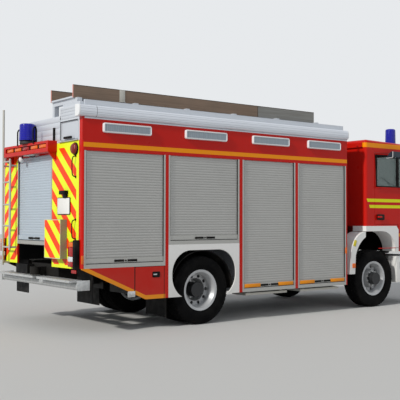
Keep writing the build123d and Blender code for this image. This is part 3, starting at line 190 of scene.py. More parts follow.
def mirrored(shape):
    # the same shape on the truck's other side
    return (np.asarray(shape[0]) * [1, -1, 1], *shape[1:])


def both(shapes):
    # the shapes and their mirror images
    return list(shapes) + [mirrored(shape) for shape in shapes]


def painted(key, *shapes):
    # the shapes in a look of their own
    return [(shape[0], shape[1], key) for shape in shapes]


def bars(*entries):
    # one bar for each entry (look, corner, far corner, radius, axis)
    return [shape for key, *values in entries for shape in painted(key, bar(*values))]


def solidsOf(node):
    # the node's triangles welded at equal points and split into solids: each point takes the least
    # number among its triangles' points until nothing changes
    mesh = nodes[node].data
    mesh.calc_loop_triangles()
    points = np.empty(len(mesh.vertices) * 3)
    corners = np.empty(len(mesh.loop_triangles) * 3, int)
    mesh.vertices.foreach_get("co", points)
    mesh.loop_triangles.foreach_get("vertices", corners)
    points, same = np.unique(np.round(points.reshape(-1, 3), 6), axis=0, return_inverse=True)
    triangles = same.reshape(-1)[corners].reshape(-1, 3)
    flat = (triangles == np.roll(triangles, 1, 1)).any(1)
    triangles = triangles[~flat]
    label = np.arange(len(points))
    while True:
        spread = label.copy()
        np.minimum.at(spread, triangles.ravel(), np.repeat(label[triangles].min(1), 3))
        if (spread == label).all():
            break
        label = spread
    solids = []
    for key in np.unique(label[triangles[:, 0]]):
        used, own = np.unique(triangles[label[triangles[:, 0]] == key], return_inverse=True)
        solids.append((points[used] - [rearX, 0, 0], own.reshape(-1, 3)))
    return solids


def placed(name, data):
    # a new object in the scene
    obj = bpy.data.objects.new(name, data)
    scene.collection.objects.link(obj)
    return obj


def piece(name, shapes, body, key, sharp=32, replaces=()):
    # joins shapes into one mesh in the look of that key; a shape's third entry is its own look, or one a face
    points, faces, kinds, keys = [], [], [], [key]
    count = 0
    for shape in shapes:
        own = shape[2] if len(shape) > 2 else key
        own = own if isinstance(own, list) else [own] * len(shape[1])
        keys += [entry for entry in dict.fromkeys(own) if entry not in keys]
        points.append(np.asarray(shape[0], float))
        faces += [[index + count for index in face] for face in shape[1]]
        kinds += [keys.index(entry) for entry in own]
        count += len(shape[0])
    mesh = bpy.data.meshes.new(name)
    mesh.from_pydata((np.concatenate(points) + [rearX, 0, 0]).tolist(), [], faces)
    mesh.polygons.foreach_set("material_index", kinds)
    for entry in keys:
        mesh.materials.append(look[entry])
    work = bmesh.new()
    work.from_mesh(mesh)
    bmesh.ops.recalc_face_normals(work, faces=work.faces)
    work.to_mesh(mesh)
    work.free()
    mesh.shade_smooth()
    mesh.set_sharp_from_angle(angle=radians(sharp))
    obj = placed(name, mesh)
    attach(obj, body)
    if replaces:
        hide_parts(*replaces)
    return obj


def dress(name, node, rules, body, key, extra=()):
    # the node's own solids, each face in the look of the first rule that takes its middle;
    # a rule is (look, test of the faces' middles, the solid's lowest and highest corner)
    shapes = []
    for points, triangles in solidsOf(node):
        middle = points[triangles].mean(1)
        kinds = np.full(len(triangles), key, object)
        for finish, test in rules[::-1]:
            kinds[np.broadcast_to(test(middle, points.min(0), points.max(0)), len(triangles))] = finish
        shapes.append((points, triangles.tolist(), kinds.tolist()))
    return piece(name, shapes + list(extra), body, key, replaces=[node])


# Materials, all on Object coordinates.

class Value:
    # a shader value; each sign adds one Math node. Masks are 0 or 1: & is their product, | the larger, ~ 1 less it
    def __init__(self, tree, socket):
        self.tree, self.socket = tree, socket

    def join(self, operation, other=0.0, turned=False):
        # the Math node of that name on this value and the other
        node = self.tree.nodes.new("ShaderNodeMath")
        node.operation = operation
        wire(self.tree, node.inputs[0], other if turned else self)
        wire(self.tree, node.inputs[1], self if turned else other)
        return Value(self.tree, node.outputs[0])

    __add__ = partialmethod(join, "ADD")
    __sub__ = partialmethod(join, "SUBTRACT")
    __rsub__ = partialmethod(join, "SUBTRACT", turned=True)
    __mul__ = __and__ = partialmethod(join, "MULTIPLY")
    __truediv__ = partialmethod(join, "DIVIDE")
    __or__ = partialmethod(join, "MAXIMUM")
    __lt__ = partialmethod(join, "LESS_THAN")
    __gt__ = partialmethod(join, "GREATER_THAN")
    __abs__ = partialmethod(join, "ABSOLUTE")
    rest = partialmethod(join, "FRACT")
    root = partialmethod(join, "SQRT")
    sine = partialmethod(join, "SINE")

    def __invert__(self):
        # 1 less the value
        return 1.0 - self

    def within(self, low, high):
        # 1 between low and high, 0 outside
        return (self > low) & (self < high)

    def ramp(self, low, high, start=0.0, stop=1.0):
        # low to high becomes start to stop, held beyond them
        node = self.tree.nodes.new("ShaderNodeMapRange")
        for socket, number in zip(("From Min", "From Max", "To Min", "To Max"), (low, high, start, stop)):
            node.inputs[socket].default_value = number
        wire(self.tree, node.inputs["Value"], self)
        return Value(self.tree, node.outputs[0])


def wire(tree, socket, value):
    # links a value, or sets a number or a colour, which may be given by its key
    if isinstance(value, Value):
        tree.links.new(value.socket, socket)
    else:
        value = colours[value] if isinstance(value, str) else value
        socket.default_value = (*value, 1) if isinstance(value, tuple) else value


class Surface:
    # one material's node tree; x counts from the rear wall
    def __init__(self, name):
        self.material = bpy.data.materials.new(name)
        self.material.use_nodes = True
        self.tree = self.material.node_tree
        self.shader = self.tree.nodes["Principled BSDF"]
        split = self.tree.nodes.new("ShaderNodeSeparateXYZ")
        self.place = self.tree.nodes.new("ShaderNodeTexCoord").outputs["Object"]
        self.tree.links.new(self.place, split.inputs[0])
        x, self.y, self.z = (Value(self.tree, socket) for socket in split.outputs)
        self.x = x - rearX

    def noise(self, scale, detail, stretch=(1, 1, 1)):
        # cloudy noise of that many cells a metre, closer set where an axis is stretched
        mapping = self.tree.nodes.new("ShaderNodeMapping")
        mapping.inputs["Scale"].default_value = stretch
        texture = self.tree.nodes.new("ShaderNodeTexNoise")
        texture.inputs["Scale"].default_value = scale
        texture.inputs["Detail"].default_value = detail
        self.tree.links.new(self.place, mapping.inputs[0])
        self.tree.links.new(mapping.outputs[0], texture.inputs["Vector"])
        return Value(self.tree, texture.outputs["Fac"])

    def mix(self, factor, under, over):
        # under * (1 - factor) + over * factor
        node = self.tree.nodes.new("ShaderNodeMix")
        node.data_type = "RGBA"
        for socket, value in (("Factor", factor), ("A", under), ("B", over)):
            wire(self.tree, node.inputs[socket], value)
        return Value(self.tree, node.outputs["Result"])

    def finish(self, colour, rough, bump=None, bumpHeight=0.001, **sockets):
        # sets the shader's sockets by name, and its relief in metres
        sockets.update(Base_Color=colour, Roughness=rough)
        for key, value in sockets.items():
            wire(self.tree, self.shader.inputs[key.replace("_", " ")], value)
        if bump is not None:
            node = self.tree.nodes.new("ShaderNodeBump")
            node.inputs["Distance"].default_value = bumpHeight
            wire(self.tree, node.inputs["Height"], bump)
            self.tree.links.new(node.outputs[0], self.shader.inputs["Normal"])
        return self.material


def linear(r, g, b):
    # screen colour 0 to 255 into the renderer's linear scale
    return tuple(((v / 255 + 0.055) / 1.055) ** 2.4 if v > 10 else v / 255 / 12.92 for v in (r, g, b))


def shade(key, factor):
    # that colour times the factor
    return tuple(v * factor for v in colours[key])


colours = {key: linear(*rgb) for key, rgb in {
    "red": (196, 23, 11), "white": (238, 238, 236), "orangeStripe": (244, 150, 8), "limeStripe": (226, 230, 20),
    "neonYellow": (236, 248, 40), "neonOrange": (252, 70, 18), "slat": (176, 176, 173),
    "rearSlat": (186, 198, 209), "frameMetal": (178, 178, 174), "awning": (226, 231, 239),
    "roofMetal": (206, 211, 218), "trayRear": (142, 122, 106), "trayFront": (146, 146, 142),
    "shade": (14, 11, 10), "black": (12, 12, 13), "rubber": (14, 14, 15), "iron": (46, 47, 49),
    "rim": (186, 188, 190), "amber": (244, 112, 14), "lampRed": (170, 16, 14), "blue": (2, 5, 165),
    "ladder": (188, 186, 178), "dust": (128, 120, 106), "steel": (196, 198, 198), "greyDust": (104, 99, 92),
    "paleField": (205, 200, 170), "boardFrame": (150, 144, 124), "trayEdge": (62, 54, 48),
    "trayGrain": (92, 80, 70), "trayEnd": (214, 150, 140), "seam": (70, 72, 76), "underShade": (9, 9, 9),
    "spangle": (150, 154, 156), "brakeDust": (96, 92, 88), "hub": (44, 45, 47), "tyre": (8, 8, 9),
    "lampGlass": (150, 162, 172), "lampFrame": (232, 234, 236), "clear": (220, 224, 228), "dusk": (132, 28, 14),
    "reflector": (232, 214, 30), "fabric": (44, 46, 52), "plate": (232, 232, 228), "mirror": (44, 56, 68),
    "mirrorGlass": (200, 208, 214), "glass": (96, 110, 106), "floor": (203, 203, 201),
}.items()}


def paint(name, base, rough=0.3, stripes=None, dirt=0.12, coat=0.05):
    # clear-coated paint: slow cloudy fade, road dust that thickens towards the ground, faint orange peel
    n = Surface(name)
    colour = n.mix(n.noise(0.9, 3).ramp(0.35, 0.75, 0.0, 0.12), base, shade(base, 0.82))
    if stripes:
        colour = stripes(n, colour)
    dust = (n.z.ramp(1.25, 0.35) & n.noise(3.5, 4).ramp(0.3, 0.75, 0.35, 1.0)) * dirt
    colour = n.mix(dust, colour, "dust")
    gloss = n.noise(7, 3).ramp(0.3, 0.7, rough - 0.03, rough + 0.06) + dust
    return n.finish(colour, gloss, n.noise(130, 1), 0.00012, Coat_Weight=coat, Coat_Roughness=0.08,
                    Specular_IOR_Level=0.16)


def metal(name, base, rough=0.38, metallic=0.6, grain=(1, 60, 60), bump=0.0002, zones=None):
    # aluminium with a fine rolled grain and cloudy oxide
    n = Surface(name)
    fine = n.noise(14, 4, grain)
    colour = n.mix(fine.ramp(0.3, 0.7, 0.0, 0.12), base, shade(base, 0.7))
    colour = n.mix(n.noise(1.6, 4).ramp(0.4, 0.75, 0.0, 0.16), colour, shade(base, 0.74))
    if zones:
        colour = zones(n, colour)
    gloss = n.noise(6, 4).ramp(0.3, 0.75, rough, rough + 0.14)
    return n.finish(colour, gloss, fine, bump, Metallic=metallic)


def plastic(name, base, rough=0.55, grainSize=180, bump=0.0004, zones=None, dusty=0.22):
    # moulded plastic, rubber or board with a fine pebble and grey dust
    n = Surface(name)
    colour = n.mix(n.noise(4, 5).ramp(0.45, 0.8, 0.0, dusty), base, "greyDust")
    if zones:
        colour = zones(n, colour)
    gloss = n.noise(12, 3).ramp(0.3, 0.7, rough - 0.08, rough + 0.12)
    return n.finish(colour, gloss, n.noise(grainSize, 2), bump, Specular_IOR_Level=0.1)


def lens(name, base, ribs=140.0, rough=0.16, across="z", deep=0.45):
    # pressed lens: sine flutes on one axis under a clear coat; the colour darkens towards each flute's crest as
    # painted shading of the flutes
    n = Surface(name)
    wave = ({"x": n.x, "z": n.z}[across] * (ribs * 2 * pi)).sine()
    # painted shading that follows the flutes' height
    colour = n.mix(wave.ramp(-1, 1, 0.0, 0.4), base, shade(base, deep))
    return n.finish(colour, rough, wave, 0.0006, Coat_Weight=0.25, Coat_Roughness=0.04, Specular_IOR_Level=0.3)


def headerStripe(n, colour):
    # orange band along both sides between two heights, outer faces only
    return n.mix(n.z.within(2.489, 2.55) & (abs(n.y) > 1.2485), colour, "orangeStripe")


skirt = {"tail": 0.873, "foot": 0.43, "run": 1.001, "band": 0.056, "front": 1.329, "arch": 1.3795,
         "inner": 1.2305, "seams": ((0.814, 0.829), (1.305, 1.314))}


def skirtStripe(n, colour):
    # orange band along the lower edge, which falls evenly from tail to foot over the run and then stays level;
    # white wheel-arch panel ahead of it, dark seams, and painted shade on the inner faces
    slope = (skirt["tail"] - skirt["foot"]) / skirt["run"]
    edge = (skirt["tail"] - n.x * slope) | skirt["foot"]
    colour = n.mix((n.z - edge < skirt["band"]) & (n.x < skirt["front"]), colour, "orangeStripe")
    rearSeam, frontSeam = (n.x.within(*seam) for seam in skirt["seams"])
    colour = n.mix(rearSeam | frontSeam, colour, "shade")
    colour = n.mix(n.x > skirt["arch"], colour, "white")
    # painted shade: the inner faces are darkened
    return n.mix(abs(n.y) < skirt["inner"], colour, "shade")


tape = {"slope": 0.87, "right": (2.587, 0.283), "left": (2.935, 0.285), "board": (1.624, 0.286), "panels": 0.2,
        "rightField": ((-1.092, -0.3), (0.914, 2.506)), "leftField": (0.914, 2.54), "joint": (1.046, 1.051)}


def bands(n, field, sign=1):
    # aslant bands: 1 where (top - height + sign * slope * y) / pitch has a rest under a half
    top, pitch = tape[field]
    return ((top - n.z + n.y * (sign * tape["slope"])) / pitch).rest() < 0.5


def bandTape(n):
    # on each panel orange bands fall outwards between yellow borders; black line near the left edge
    right = n.y < tape["panels"]
    across, upright = tape["rightField"]
    onRight = right & bands(n, "right") & n.y.within(*across) & n.z.within(*upright)
    onLeft = ~right & bands(n, "left", -1) & n.z.within(*tape["leftField"])
    taped = n.mix(onRight | onLeft, "neonYellow", "neonOrange")
    return n.mix(n.y.within(*tape["joint"]), taped, "black")


def onRearFace(n):
    # 1 on the rear wall's outer face, across the panels and the posts' inner edges
    return n.z.within(0.86, 2.5785) & n.x.within(-0.004, 0.002) & n.y.within(-1.16, 1.212)


def frameStripes(n, colour):
    # orange band along both sides, the tape's outer borders on the rear corner posts
    return n.mix(onRearFace(n), headerStripe(n, colour), bandTape(n))


def chevron(n, colour):
    # banded panels, aluminium above them; grey frame, then the board with the same bands and a pale field
    colour = n.mix(onRearFace(n) & ~n.y.within(-0.384, 0.749), colour, bandTape(n))
    colour = n.mix((n.z > 2.5795) & (n.y > -1.172), colour, "roofMetal")
    board = n.mix(bands(n, "board"), "neonYellow", "neonOrange")
    board = n.mix(n.y.within(-0.838, -0.381) & n.z.within(1.009, 1.521), "paleField", board)
    colour = n.mix(n.x < -0.006, colour, "boardFrame")
    return n.mix(n.x < -0.1035, colour, board)


cabBands = {
    "upperLime": ("limeStripe", (1.842, 1.899), 5.62, 0.35),
    "lowerLime": ("limeStripe", (1.736, 1.79), 5.64, 0.35),
    "roof": ("orangeStripe", (2.8, 2.88), 5.57, 0.0),
    "sill": ("orangeStripe", (1.226, 1.283), 6.461, 0.0),
}


def cabStripes(n, colour):
    # bands on the cab's sides ahead of x - slant * (1.9 - z) = start, painted shade on the underside
    side = abs(n.y) > 1.14
    for key, height, start, slant in cabBands.values():
        place = n.x - (1.9 - n.z) * slant if slant else n.x
        colour = n.mix(n.z.within(*height) & (place > start) & side, colour, key)
    # painted shade under the cab, behind its front face
    return n.mix((n.z < 1.3) & (n.x < 7.15) & (abs(n.y) < 1.17), colour, "shade")


def trayTones(n, colour):
    # grey front part behind a dark joint, dark top edge, brown grain, reddish rear ends
    colour = n.mix(n.x > 3.29, colour, "trayFront")
    colour = n.mix(n.x.within(3.284, 3.294), colour, "black")
    colour = n.mix(n.z > 3.331, colour, "trayEdge")
    colour = n.mix(n.noise(5, 4, (0.4, 12, 12)).ramp(0.35, 0.7, 0.0, 0.3), colour, "trayGrain")
    return n.mix(n.x < 0.0015, colour, "trayEnd")


def awningSeam(n, colour):
    # dark seam round the cassette
    return n.mix(n.x.within(0.197, 0.203), colour, "seam")


def paintedUnderShade(n, colour):
    # painted shade below the sills and in the recess under the rear shutter
    recess = (n.z < 1.168) & (n.x < 0.8) & n.y.within(-0.4305, 0.7905)
    return n.mix((n.z < 0.935) & (n.x < 1.366) | (n.z < 0.42) | recess, colour, "underShade")


def galvanised(n, colour):
    # spangled zinc
    return n.mix(n.noise(26, 2).ramp(0.42, 0.6, 0.0, 0.35), colour, "spangle")


wheelTones = {"height": 0.5, "dust": (0.27, 0.14, 0.0, 0.35), "hub": 0.1055}


def wheelZones(axleX):
    # dark hub and brake-dust ring by the distance sqrt(across^2 + down^2) from the axle line
    def zones(n, colour):
        across, down = n.x - axleX, n.z - wheelTones["height"]
        reach = (across * across + down * down).root()
        colour = n.mix(reach.ramp(*wheelTones["dust"]), colour, "brakeDust")
        return n.mix(reach < wheelTones["hub"], colour, "hub")
    return zones


axleX = {end: sum(corner[0] for corner in boxAt(f"rim_{end}_right")) / 2 for end in ("front", "rear")}

look = {
    "red": paint("redPaint", "red"),
    "frame": paint("redFramePaint", "red", stripes=frameStripes),
    "skirt": paint("skirtPaint", "red", stripes=skirtStripe, dirt=0.25),
    "rearWall": paint("chevronPanels", "red", stripes=chevron, rough=0.34, dirt=0.1),
    "cab": paint("cabPaint", "red", stripes=cabStripes),
    "white": paint("whitePaint", "white", dirt=0.3),
    "chassis": paint("chassisPaint", "black", rough=0.6, coat=0.0, dirt=0.1),
    "zinc": metal("galvanisedSteel", "steel", 0.45, 0.45, (1, 1, 1), 0.0004, galvanised),
    "iron": metal("castIron", "iron", 0.62, 0.3, (1, 1, 1), 0.001),
    "slat": metal("slatAluminium", "slat", 0.42, 0.35, (2, 2, 40)),
    "rearSlat": metal("rearSlatAluminium", "rearSlat", 0.4, 0.35, (2, 2, 40)),
    "guide": metal("guideAluminium", "frameMetal", 0.4, 0.5, (30, 30, 1)),
    "awning": metal("awningAluminium", "awning", 0.3, 0.25, (1, 40, 40), zones=awningSeam),
    "roof": metal("roofAluminium", "roofMetal", 0.42, 0.3, (1, 30, 30)),
    "floor": metal("floorAluminium", "roofMetal", 0.45, 0.3, (1, 30, 30), zones=paintedUnderShade),
    "tray": plastic("trayBoard", "trayRear", 0.6, 90, 0.0006, trayTones),
    "black": plastic("blackPlastic", "black", 0.5),
    "rubber": plastic("rubber", "rubber", 0.72, 120, 0.0006),
    "tyre": plastic("tyreRubber", "tyre", 0.88, 140, 0.0006, dusty=0.05),
    "rimRear": metal("rearRimPaint", "rim", 0.36, 0.35, (1, 1, 1), zones=wheelZones(axleX["rear"])),
    "rimFront": metal("frontRimPaint", "rim", 0.36, 0.35, (1, 1, 1), zones=wheelZones(axleX["front"])),
    "steel": metal("brightSteel", "steel", 0.3, 0.8, (1, 1, 1)),
    "lampGlass": lens("sceneLampLens", "lampGlass", ribs=30, across="x", rough=0.2, deep=0.7),
    "lampFrame": plastic("lampFrame", "lampFrame", 0.35, dusty=0.06),
    "amber": lens("amberLens", "amber", ribs=90),
    "tail": lens("redLens", "lampRed", ribs=90),
    "dusk": lens("roundLampLens", "dusk", ribs=60),
    "clear": lens("clearLens", "clear", ribs=90, deep=0.75),
    "blue": lens("blueDome", "blue", ribs=38, deep=0.3),
    "tape": paint("orangeTape", "orangeStripe", 0.35, coat=0.2, dirt=0.1),
    "reflector": lens("yellowReflector", "reflector", ribs=160, across="x"),
    "ladder": metal("ladderMetal", "ladder", 0.4, 0.35, (40, 40, 1)),
    "fabric": plastic("seatFabric", "fabric", 0.92, 420, 0.0012, dusty=0.1),
    "plate": plastic("blankPlate", "plate", 0.35, dusty=0.05),
    "mirror": metal("mirrorShell", "mirror", 0.3, 0.2, (1, 1, 1)),
    "mirrorGlass": metal("mirrorGlass", "mirrorGlass", 0.05, 1.0, (1, 1, 1), 0.00001),
}


def cabGlass():
    # clear pane with a dark tint that is a painted reflection of dark surroundings, slightly streaked
    n = Surface("cabGlass")
    rough = n.noise(3, 3).ramp(0.3, 0.8, 0.01, 0.05)
    # the dark glass colour is a painted reflection
    return n.finish("glass", rough, Transmission_Weight=0.9, IOR=1.2, Alpha=0.6)


look["glass"] = cabGlass()

nodeLook = {
    "chassis": ("chassis_frame", "side_tanks"), "floor": ("body_floors", "body_partitions"),
    "iron": ("driveline", "axle_beams", "leaf_springs", "knuckle_right", "knuckle_left"),
    "roof": ("body_roof", "mast_column", "mast_stage", "rear_hatch"), "frame": ("side_frames",),
    "skirt": ("lower_panels", "locker_flap_right", "locker_flap_left"), "rearWall": ("rear_panels",),
    "cab": ("cab_shell",), "glass": ("windscreen",), "white": ("cab_fenders",),
    "rearSlat": ("shutter_bar_rear",),
    "rimFront": ("rim_front_right", "rim_front_left"), "rimRear": ("rim_rear_right", "rim_rear_left"),
}
for name, obj in nodes.items():
    usual = "guide" if name.startswith(("shutter_bar", "shutter_guides")) else "black"
    obj.data.materials.clear()
    obj.data.materials.append(look[next((key for key, names in nodeLook.items() if name in names), usual)])
print("materials ready")


# Roller shutters: one shallow arch per slat with a groove between, carried from guide to guide.
shutter = {"pitch": 0.037, "crown": 0.003, "recess": 0.016, "thick": 0.009, "half": 1.25, "samples": 8,
           "least": 0.004}
seal = {"start": 0.0088, "width": 0.0044, "depth": (-0.0145, -0.002), "radius": 0.001}


def shutterSide(name):
    # the axis along the shutter, the axis across it and the sign of the way out
    axis = 1 if name == "rear" else 0
    return axis, 1 - axis, 1 if name.startswith("left") else -1


def block(axis, along, across, height, radius, run):
    # bar between two places along the shutter, two across it and two heights, carried along the run axis
    corners = np.zeros((2, 3))
    corners[:, axis], corners[:, 1 - axis], corners[:, 2] = along, across, height
    return bar(*corners, radius, run)


def slatCurtain(low, high, face, outward, run):
    # depth = crown * sin^0.4 over each slat, as a profile of (depth, height) carried over the run
    count = round((high - low) / shutter["pitch"])
    share = np.linspace(0, 1, shutter["samples"] + 1)[:-1]
    heights = low + (np.arange(count)[:, None] + share) * (high - low) / count
    arch = np.tile(shutter["crown"] * np.sin(share * pi) ** 0.4, count)
    base = -shutter["recess"] - shutter["crown"]
    back = -shutter["recess"] - shutter["thick"]
    outer = np.stack([arch + base, heights.ravel()], -1)
    profile = np.vstack([outer, [[base, high], [back, high], [back, low]]])
    return sweep(profile, [(face + run * d, outward, np.array([0, 0, 1.0])) for d in (0.0, 1.0)])


names = [node[len("curtain_"):] for node in sorted(nodes) if node.startswith("curtain_")]
seals = []
for name in names:
    low, high = boxAt(f"curtain_{name}")
    axis, across, sign = shutterSide(name)
    wall = sign * (0 if name == "rear" else shutter["half"])
    for edge, step in ((low[axis] + seal["start"], 1), (high[axis] - seal["start"], -1)):
        seals.append(block(axis, (edge, edge + step * seal["width"]), [wall + sign * d for d in seal["depth"]],
                           (low[2], high[2]), seal["radius"], 2))
    eye = np.eye(3)
    face = eye[axis] * low + eye[across] * wall
    slats = slatCurtain(low[2], high[2], face, eye[across] * sign, eye[axis] * (high - low))
    curtain = piece(f"slats_{name}", [slats], "chassis",
                    "rearSlat" if name == "rear" else "slat", sharp=20, replaces=[f"curtain_{name}"])
    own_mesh(curtain)
piece("shutter_seals", seals, "chassis", "rubber")

# Bottom bars: twin grips, a round catch, a rubber lip, orange tape on the four deep side shutters.
grip = {"length": 0.15, "gap": 0.06, "height": 0.03, "depth": (0.012, 0.0035), "rise": 0.036, "radius": 0.003}
catch = {"depth": 0.009, "profile": ((0.011, 0), (0.011, 0.01), (0.008, 0.0125), (0.001, 0.0125)), "sides": 20}
lip = {"inset": 0.003, "depth": (0.006, 0.0014), "height": (0.0003, 0.0085), "radius": 0.001}
tapeBand = {"inner": 0.19, "inset": 0.012, "depth": (0.009, 0.0012), "height": (0.01, 0.064), "radius": 0.001}


def barFittings(name):
    # all places count from the bar's middle, outer face and lower edge
    axis, across, sign = shutterSide(name)
    low, high = boxAt(f"shutter_bar_{name}")
    outer = low[across] if sign < 0 else high[across]
    middle, half = (low[axis] + high[axis]) / 2, (high[axis] - low[axis]) / 2

    def strip(start, end, kind, height):
        # from start to end along the bar, from the first depth inside its face to the second outside
        inside, outside = kind["depth"]
        return block(axis, (middle + start, middle + end), (outer - sign * inside, outer + sign * outside),
                     low[2] + np.array(height), kind["radius"], axis)

    reach = grip["gap"] / 2 + grip["length"]
    heights = (grip["rise"] - grip["height"] / 2, grip["rise"] + grip["height"] / 2)
    shapes = [strip(-reach, -grip["gap"] / 2, grip, heights), strip(grip["gap"] / 2, reach, grip, heights)]
    centre = np.zeros(3)
    centre[axis], centre[across], centre[2] = middle, outer - sign * catch["depth"], low[2] + grip["rise"]
    shapes.append(lathe(catch["profile"], centre, np.eye(3)[across] * sign, catch["sides"]))
    shapes += painted("rubber", strip(lip["inset"] - half, half - lip["inset"], lip, lip["height"]))
    if name[-1] in "34":
        for step in (-1, 1):
            start, end = step * tapeBand["inner"], step * (half - tapeBand["inset"])
            shapes += painted("tape", strip(start, end, tapeBand, tapeBand["height"]))
    return shapes


for name in names:
    piece(f"grips_{name}", barFittings(name), f"shutter_{name}", "black")
print("shutters done")


# Awning cassette: half superellipse bulging outwards, notched at each rib line, carried along the roof edge.
awning = {"x": (-0.071, 5.092), "y": (-1.1705, -1.29), "z": (2.8855, 3.0465),
          "ribs": (2.918, 2.945, 2.986, 3.014), "notch": 0.0045, "notchHeight": 0.0035, "samples": 140,
          "shrunk": 0.985, "cap": ((0, 0.9), (0.004, 0.97), (0.01, 1.0), (0.022, 1.0))}


def awningLine(notched):
    # y = inner - depth * sin(t)^0.35, z = middle + half * cos(t)^0.75 with its sign; notches are bells in z
    t = np.linspace(0, pi, awning["samples"])
    (inner, outer), (low, high) = awning["y"], awning["z"]
    z = (low + high) / 2 + (high - low) / 2 * np.sign(np.cos(t)) * np.abs(np.cos(t)) ** 0.75
    y = inner - (inner - outer) * np.maximum(np.sin(t), 0) ** 0.35
    if notched:
        for rib in awning["ribs"]:
            y = y + awning["notch"] * np.exp(-((z - rib) / awning["notchHeight"]) ** 2)
    return np.stack([y, z], -1)


def awningStations(rows):
    # for each (x, s) the line drawn to s times its size about its middle
    middle = np.array([0, sum(awning["y"]) / 2, sum(awning["z"]) / 2])
    return [(np.array([x, 0, 0]) + middle * (1 - s), np.array([0, s, 0]), np.array([0, 0, s])) for x, s in rows]


a, b = awning["x"]
c, s = awning["cap"][-1][0], awning["shrunk"]
piece("awning_cassette", [
    sweep(awningLine(True), awningStations([(a + c, s), (b - c, s)])),
    *painted("lampFrame", sweep(awningLine(False), awningStations([(a + d, s) for d, s in awning["cap"]])),
             sweep(awningLine(False), awningStations([(b - d, s) for d, s in awning["cap"][::-1]]))),
], "chassis", "awning", replaces=["awning"])


# Lamps on the body: four scene lamps a side, round lamps, clusters, rubber buffer, markers.
sceneLamp = {"starts": (0.303, 1.66, 2.939, 4.128), "size": (0.77, 0.131), "z": 2.7575, "rows": (
    (0, 0.024, 0), (0, 0.024, 0.028), (0.012, 0.02, 0.0365), (0.03, 0.014, 0.0375), (0.038, 0.012, 0.03)),
    "flute": 0.024, "crest": 0.031, "deep": 0.0022, "back": 0.029, "border": 0.021, "samples": 181}
cluster = {"z": (0.901, 0.969, 1.037, 1.166, 1.231), "looks": ("tail", "clear", "tail", "amber"),
           "places": ((-1.132, -0.965), (1.142, 1.242)), "proud": 0.06, "plate": -0.02, "back": -0.018}
roundLamp = {"y": 1.062, "z": 2.47, "sides": 40,
             "ring": ((0.01, 0), (0.084, 0), (0.084, 0.014), (0.078, 0.02), (0.01, 0.02)),
             "dome": ((0.076, 0.018), (0.072, 0.032), (0.064, 0.044), (0.048, 0.054), (0.02, 0.0592),
                      (0.001, 0.0596))}
rearBars = {
    "buffer": ("rubber", (-0.0775, -1.2, 0.8735), (rearSkin, -1.1325, 1.2595), 0.012, 2),
    "reflector": ("tail", (-0.012, -1.115, 0.815), (rearSkin, -0.985, 0.86), 0.003, 0),
}
markers = {
    "rear": ("amber", (-0.012, -1.262, 0.945), (0.026, sideSkin, 1.056), 0.004, 2),
    "front": ("amber", (5.031, -1.262, 0.958), (5.072, sideSkin, 1.06), 0.004, 2),
}


def sceneLampShapes(start):
    # white frame that steps back to a recess; its lens has ribs of |sin| across
    w, h = sceneLamp["size"]
    x, z, flute = start + w / 2, sceneLamp["z"], sceneLamp["flute"]
    across = np.linspace(-w / 2 + flute, w / 2 - flute, sceneLamp["samples"])
    wave = sideSkin - sceneLamp["crest"] - sceneLamp["deep"] * np.abs(np.sin(across * pi / flute))
    back = sideSkin - sceneLamp["back"]
    outline = np.vstack([np.stack([across + x, wave], -1), [[across[-1] + x, back], [across[0] + x, back]]])
    glass = prism(outline, z - h / 2 + sceneLamp["border"], z + h / 2 - sceneLamp["border"], "xy")
    return [stack((x, sideSkin, z), sideways, (w, h), sceneLamp["rows"]), *painted("lampGlass", glass)]


lamps = []
for start in sceneLamp["starts"]:
    lamps += both(sceneLampShapes(start))
z = cluster["z"]
for low, high in cluster["places"]:
    plateEnds = (cluster["plate"], low, z[0] - 0.006), (rearSkin, high, z[-1] + 0.004)
    lamps += painted("black", bar(*plateEnds, 0.004))
    for bottom, top, finish in zip(z, z[1:], cluster["looks"]):
        lamps += painted(finish, bar((-cluster["proud"], low + 0.003, bottom + 0.002),
                                     (cluster["back"], high - 0.003, top - 0.002), 0.008, 2))
for y in (-roundLamp["y"], roundLamp["y"]):
    for key, part in (("black", "ring"), ("dusk", "dome")):
        place = (rearSkin, y, roundLamp["z"])
        lamps += painted(key, lathe(roundLamp[part], place, rearward, roundLamp["sides"]))
lamps += bars(*rearBars.values()) + both(bars(*markers.values()))
piece("body_lamp_set", lamps, "chassis", "lampFrame", replaces=["body_lamps"])


# Warning box over the rear shutter, its amber lamps, the beacon in its guard, the work lamp under it.
box = {"y": (-0.532, 0.937), "z": (2.46, 2.618), "lift": 0.012, "panel": (-0.1145, -0.1115),
       "border": (0.062, 0.03), "rows": (
           (0, 0.01, 0), (0, 0.01, 0.135), (0.008, 0.008, 0.1395), ((0.12, 0.094), 0.006, 0.1395, 0.012),
           ((0.12, 0.094), 0.006, 0.112, 0.012))}
boxLamp = {"count": 5, "margin": 0.06, "gap": 0.06, "height": 0.05, "x": -0.113,
           "rows": ((0, 0.01, 0), (0, 0.01, 0.012), ((0.02, 0.014), 0.01, 0.019))}
gusset = {"outline": ((-0.0005, 2.462), (-0.0005, 2.36), (-0.03, 2.36), (-0.125, 2.462)),
          "y": (-0.512, 0.887), "thick": 0.03}
beacon = {"place": (-0.107, 0.195, 2.617), "size": (0.117, 0.296)}
beaconRows = {"foot": ((0, 0), (0.93, 0), (0.93, 0.09), (0.86, 0.14), (0, 0.14)), "least": 0.01,
              "rim": ((0, 0.135), (0.97, 0.135), (1, 0.175), (0, 0.175)),
              "wall": ((0.985, 0.172), (0.965, 0.5))}
guard = {"y": (0.43, -0.09), "x": (-0.15, -0.1), "low": 2.6, "high": 2.84, "radius": 0.0105, "drop": 0.03,
         "bend": 0.02}
workLamp = {"profile": ((0.001, -0.036), (0.026, -0.032), (0.04, -0.016), (0.044, 0.0), (0.04, 0.016),
                        (0.02, 0.03), (0.001, 0.034)),
            "place": (-0.085, 0.445, 2.405), "axis": (-0.8, 0.55, -0.35)}
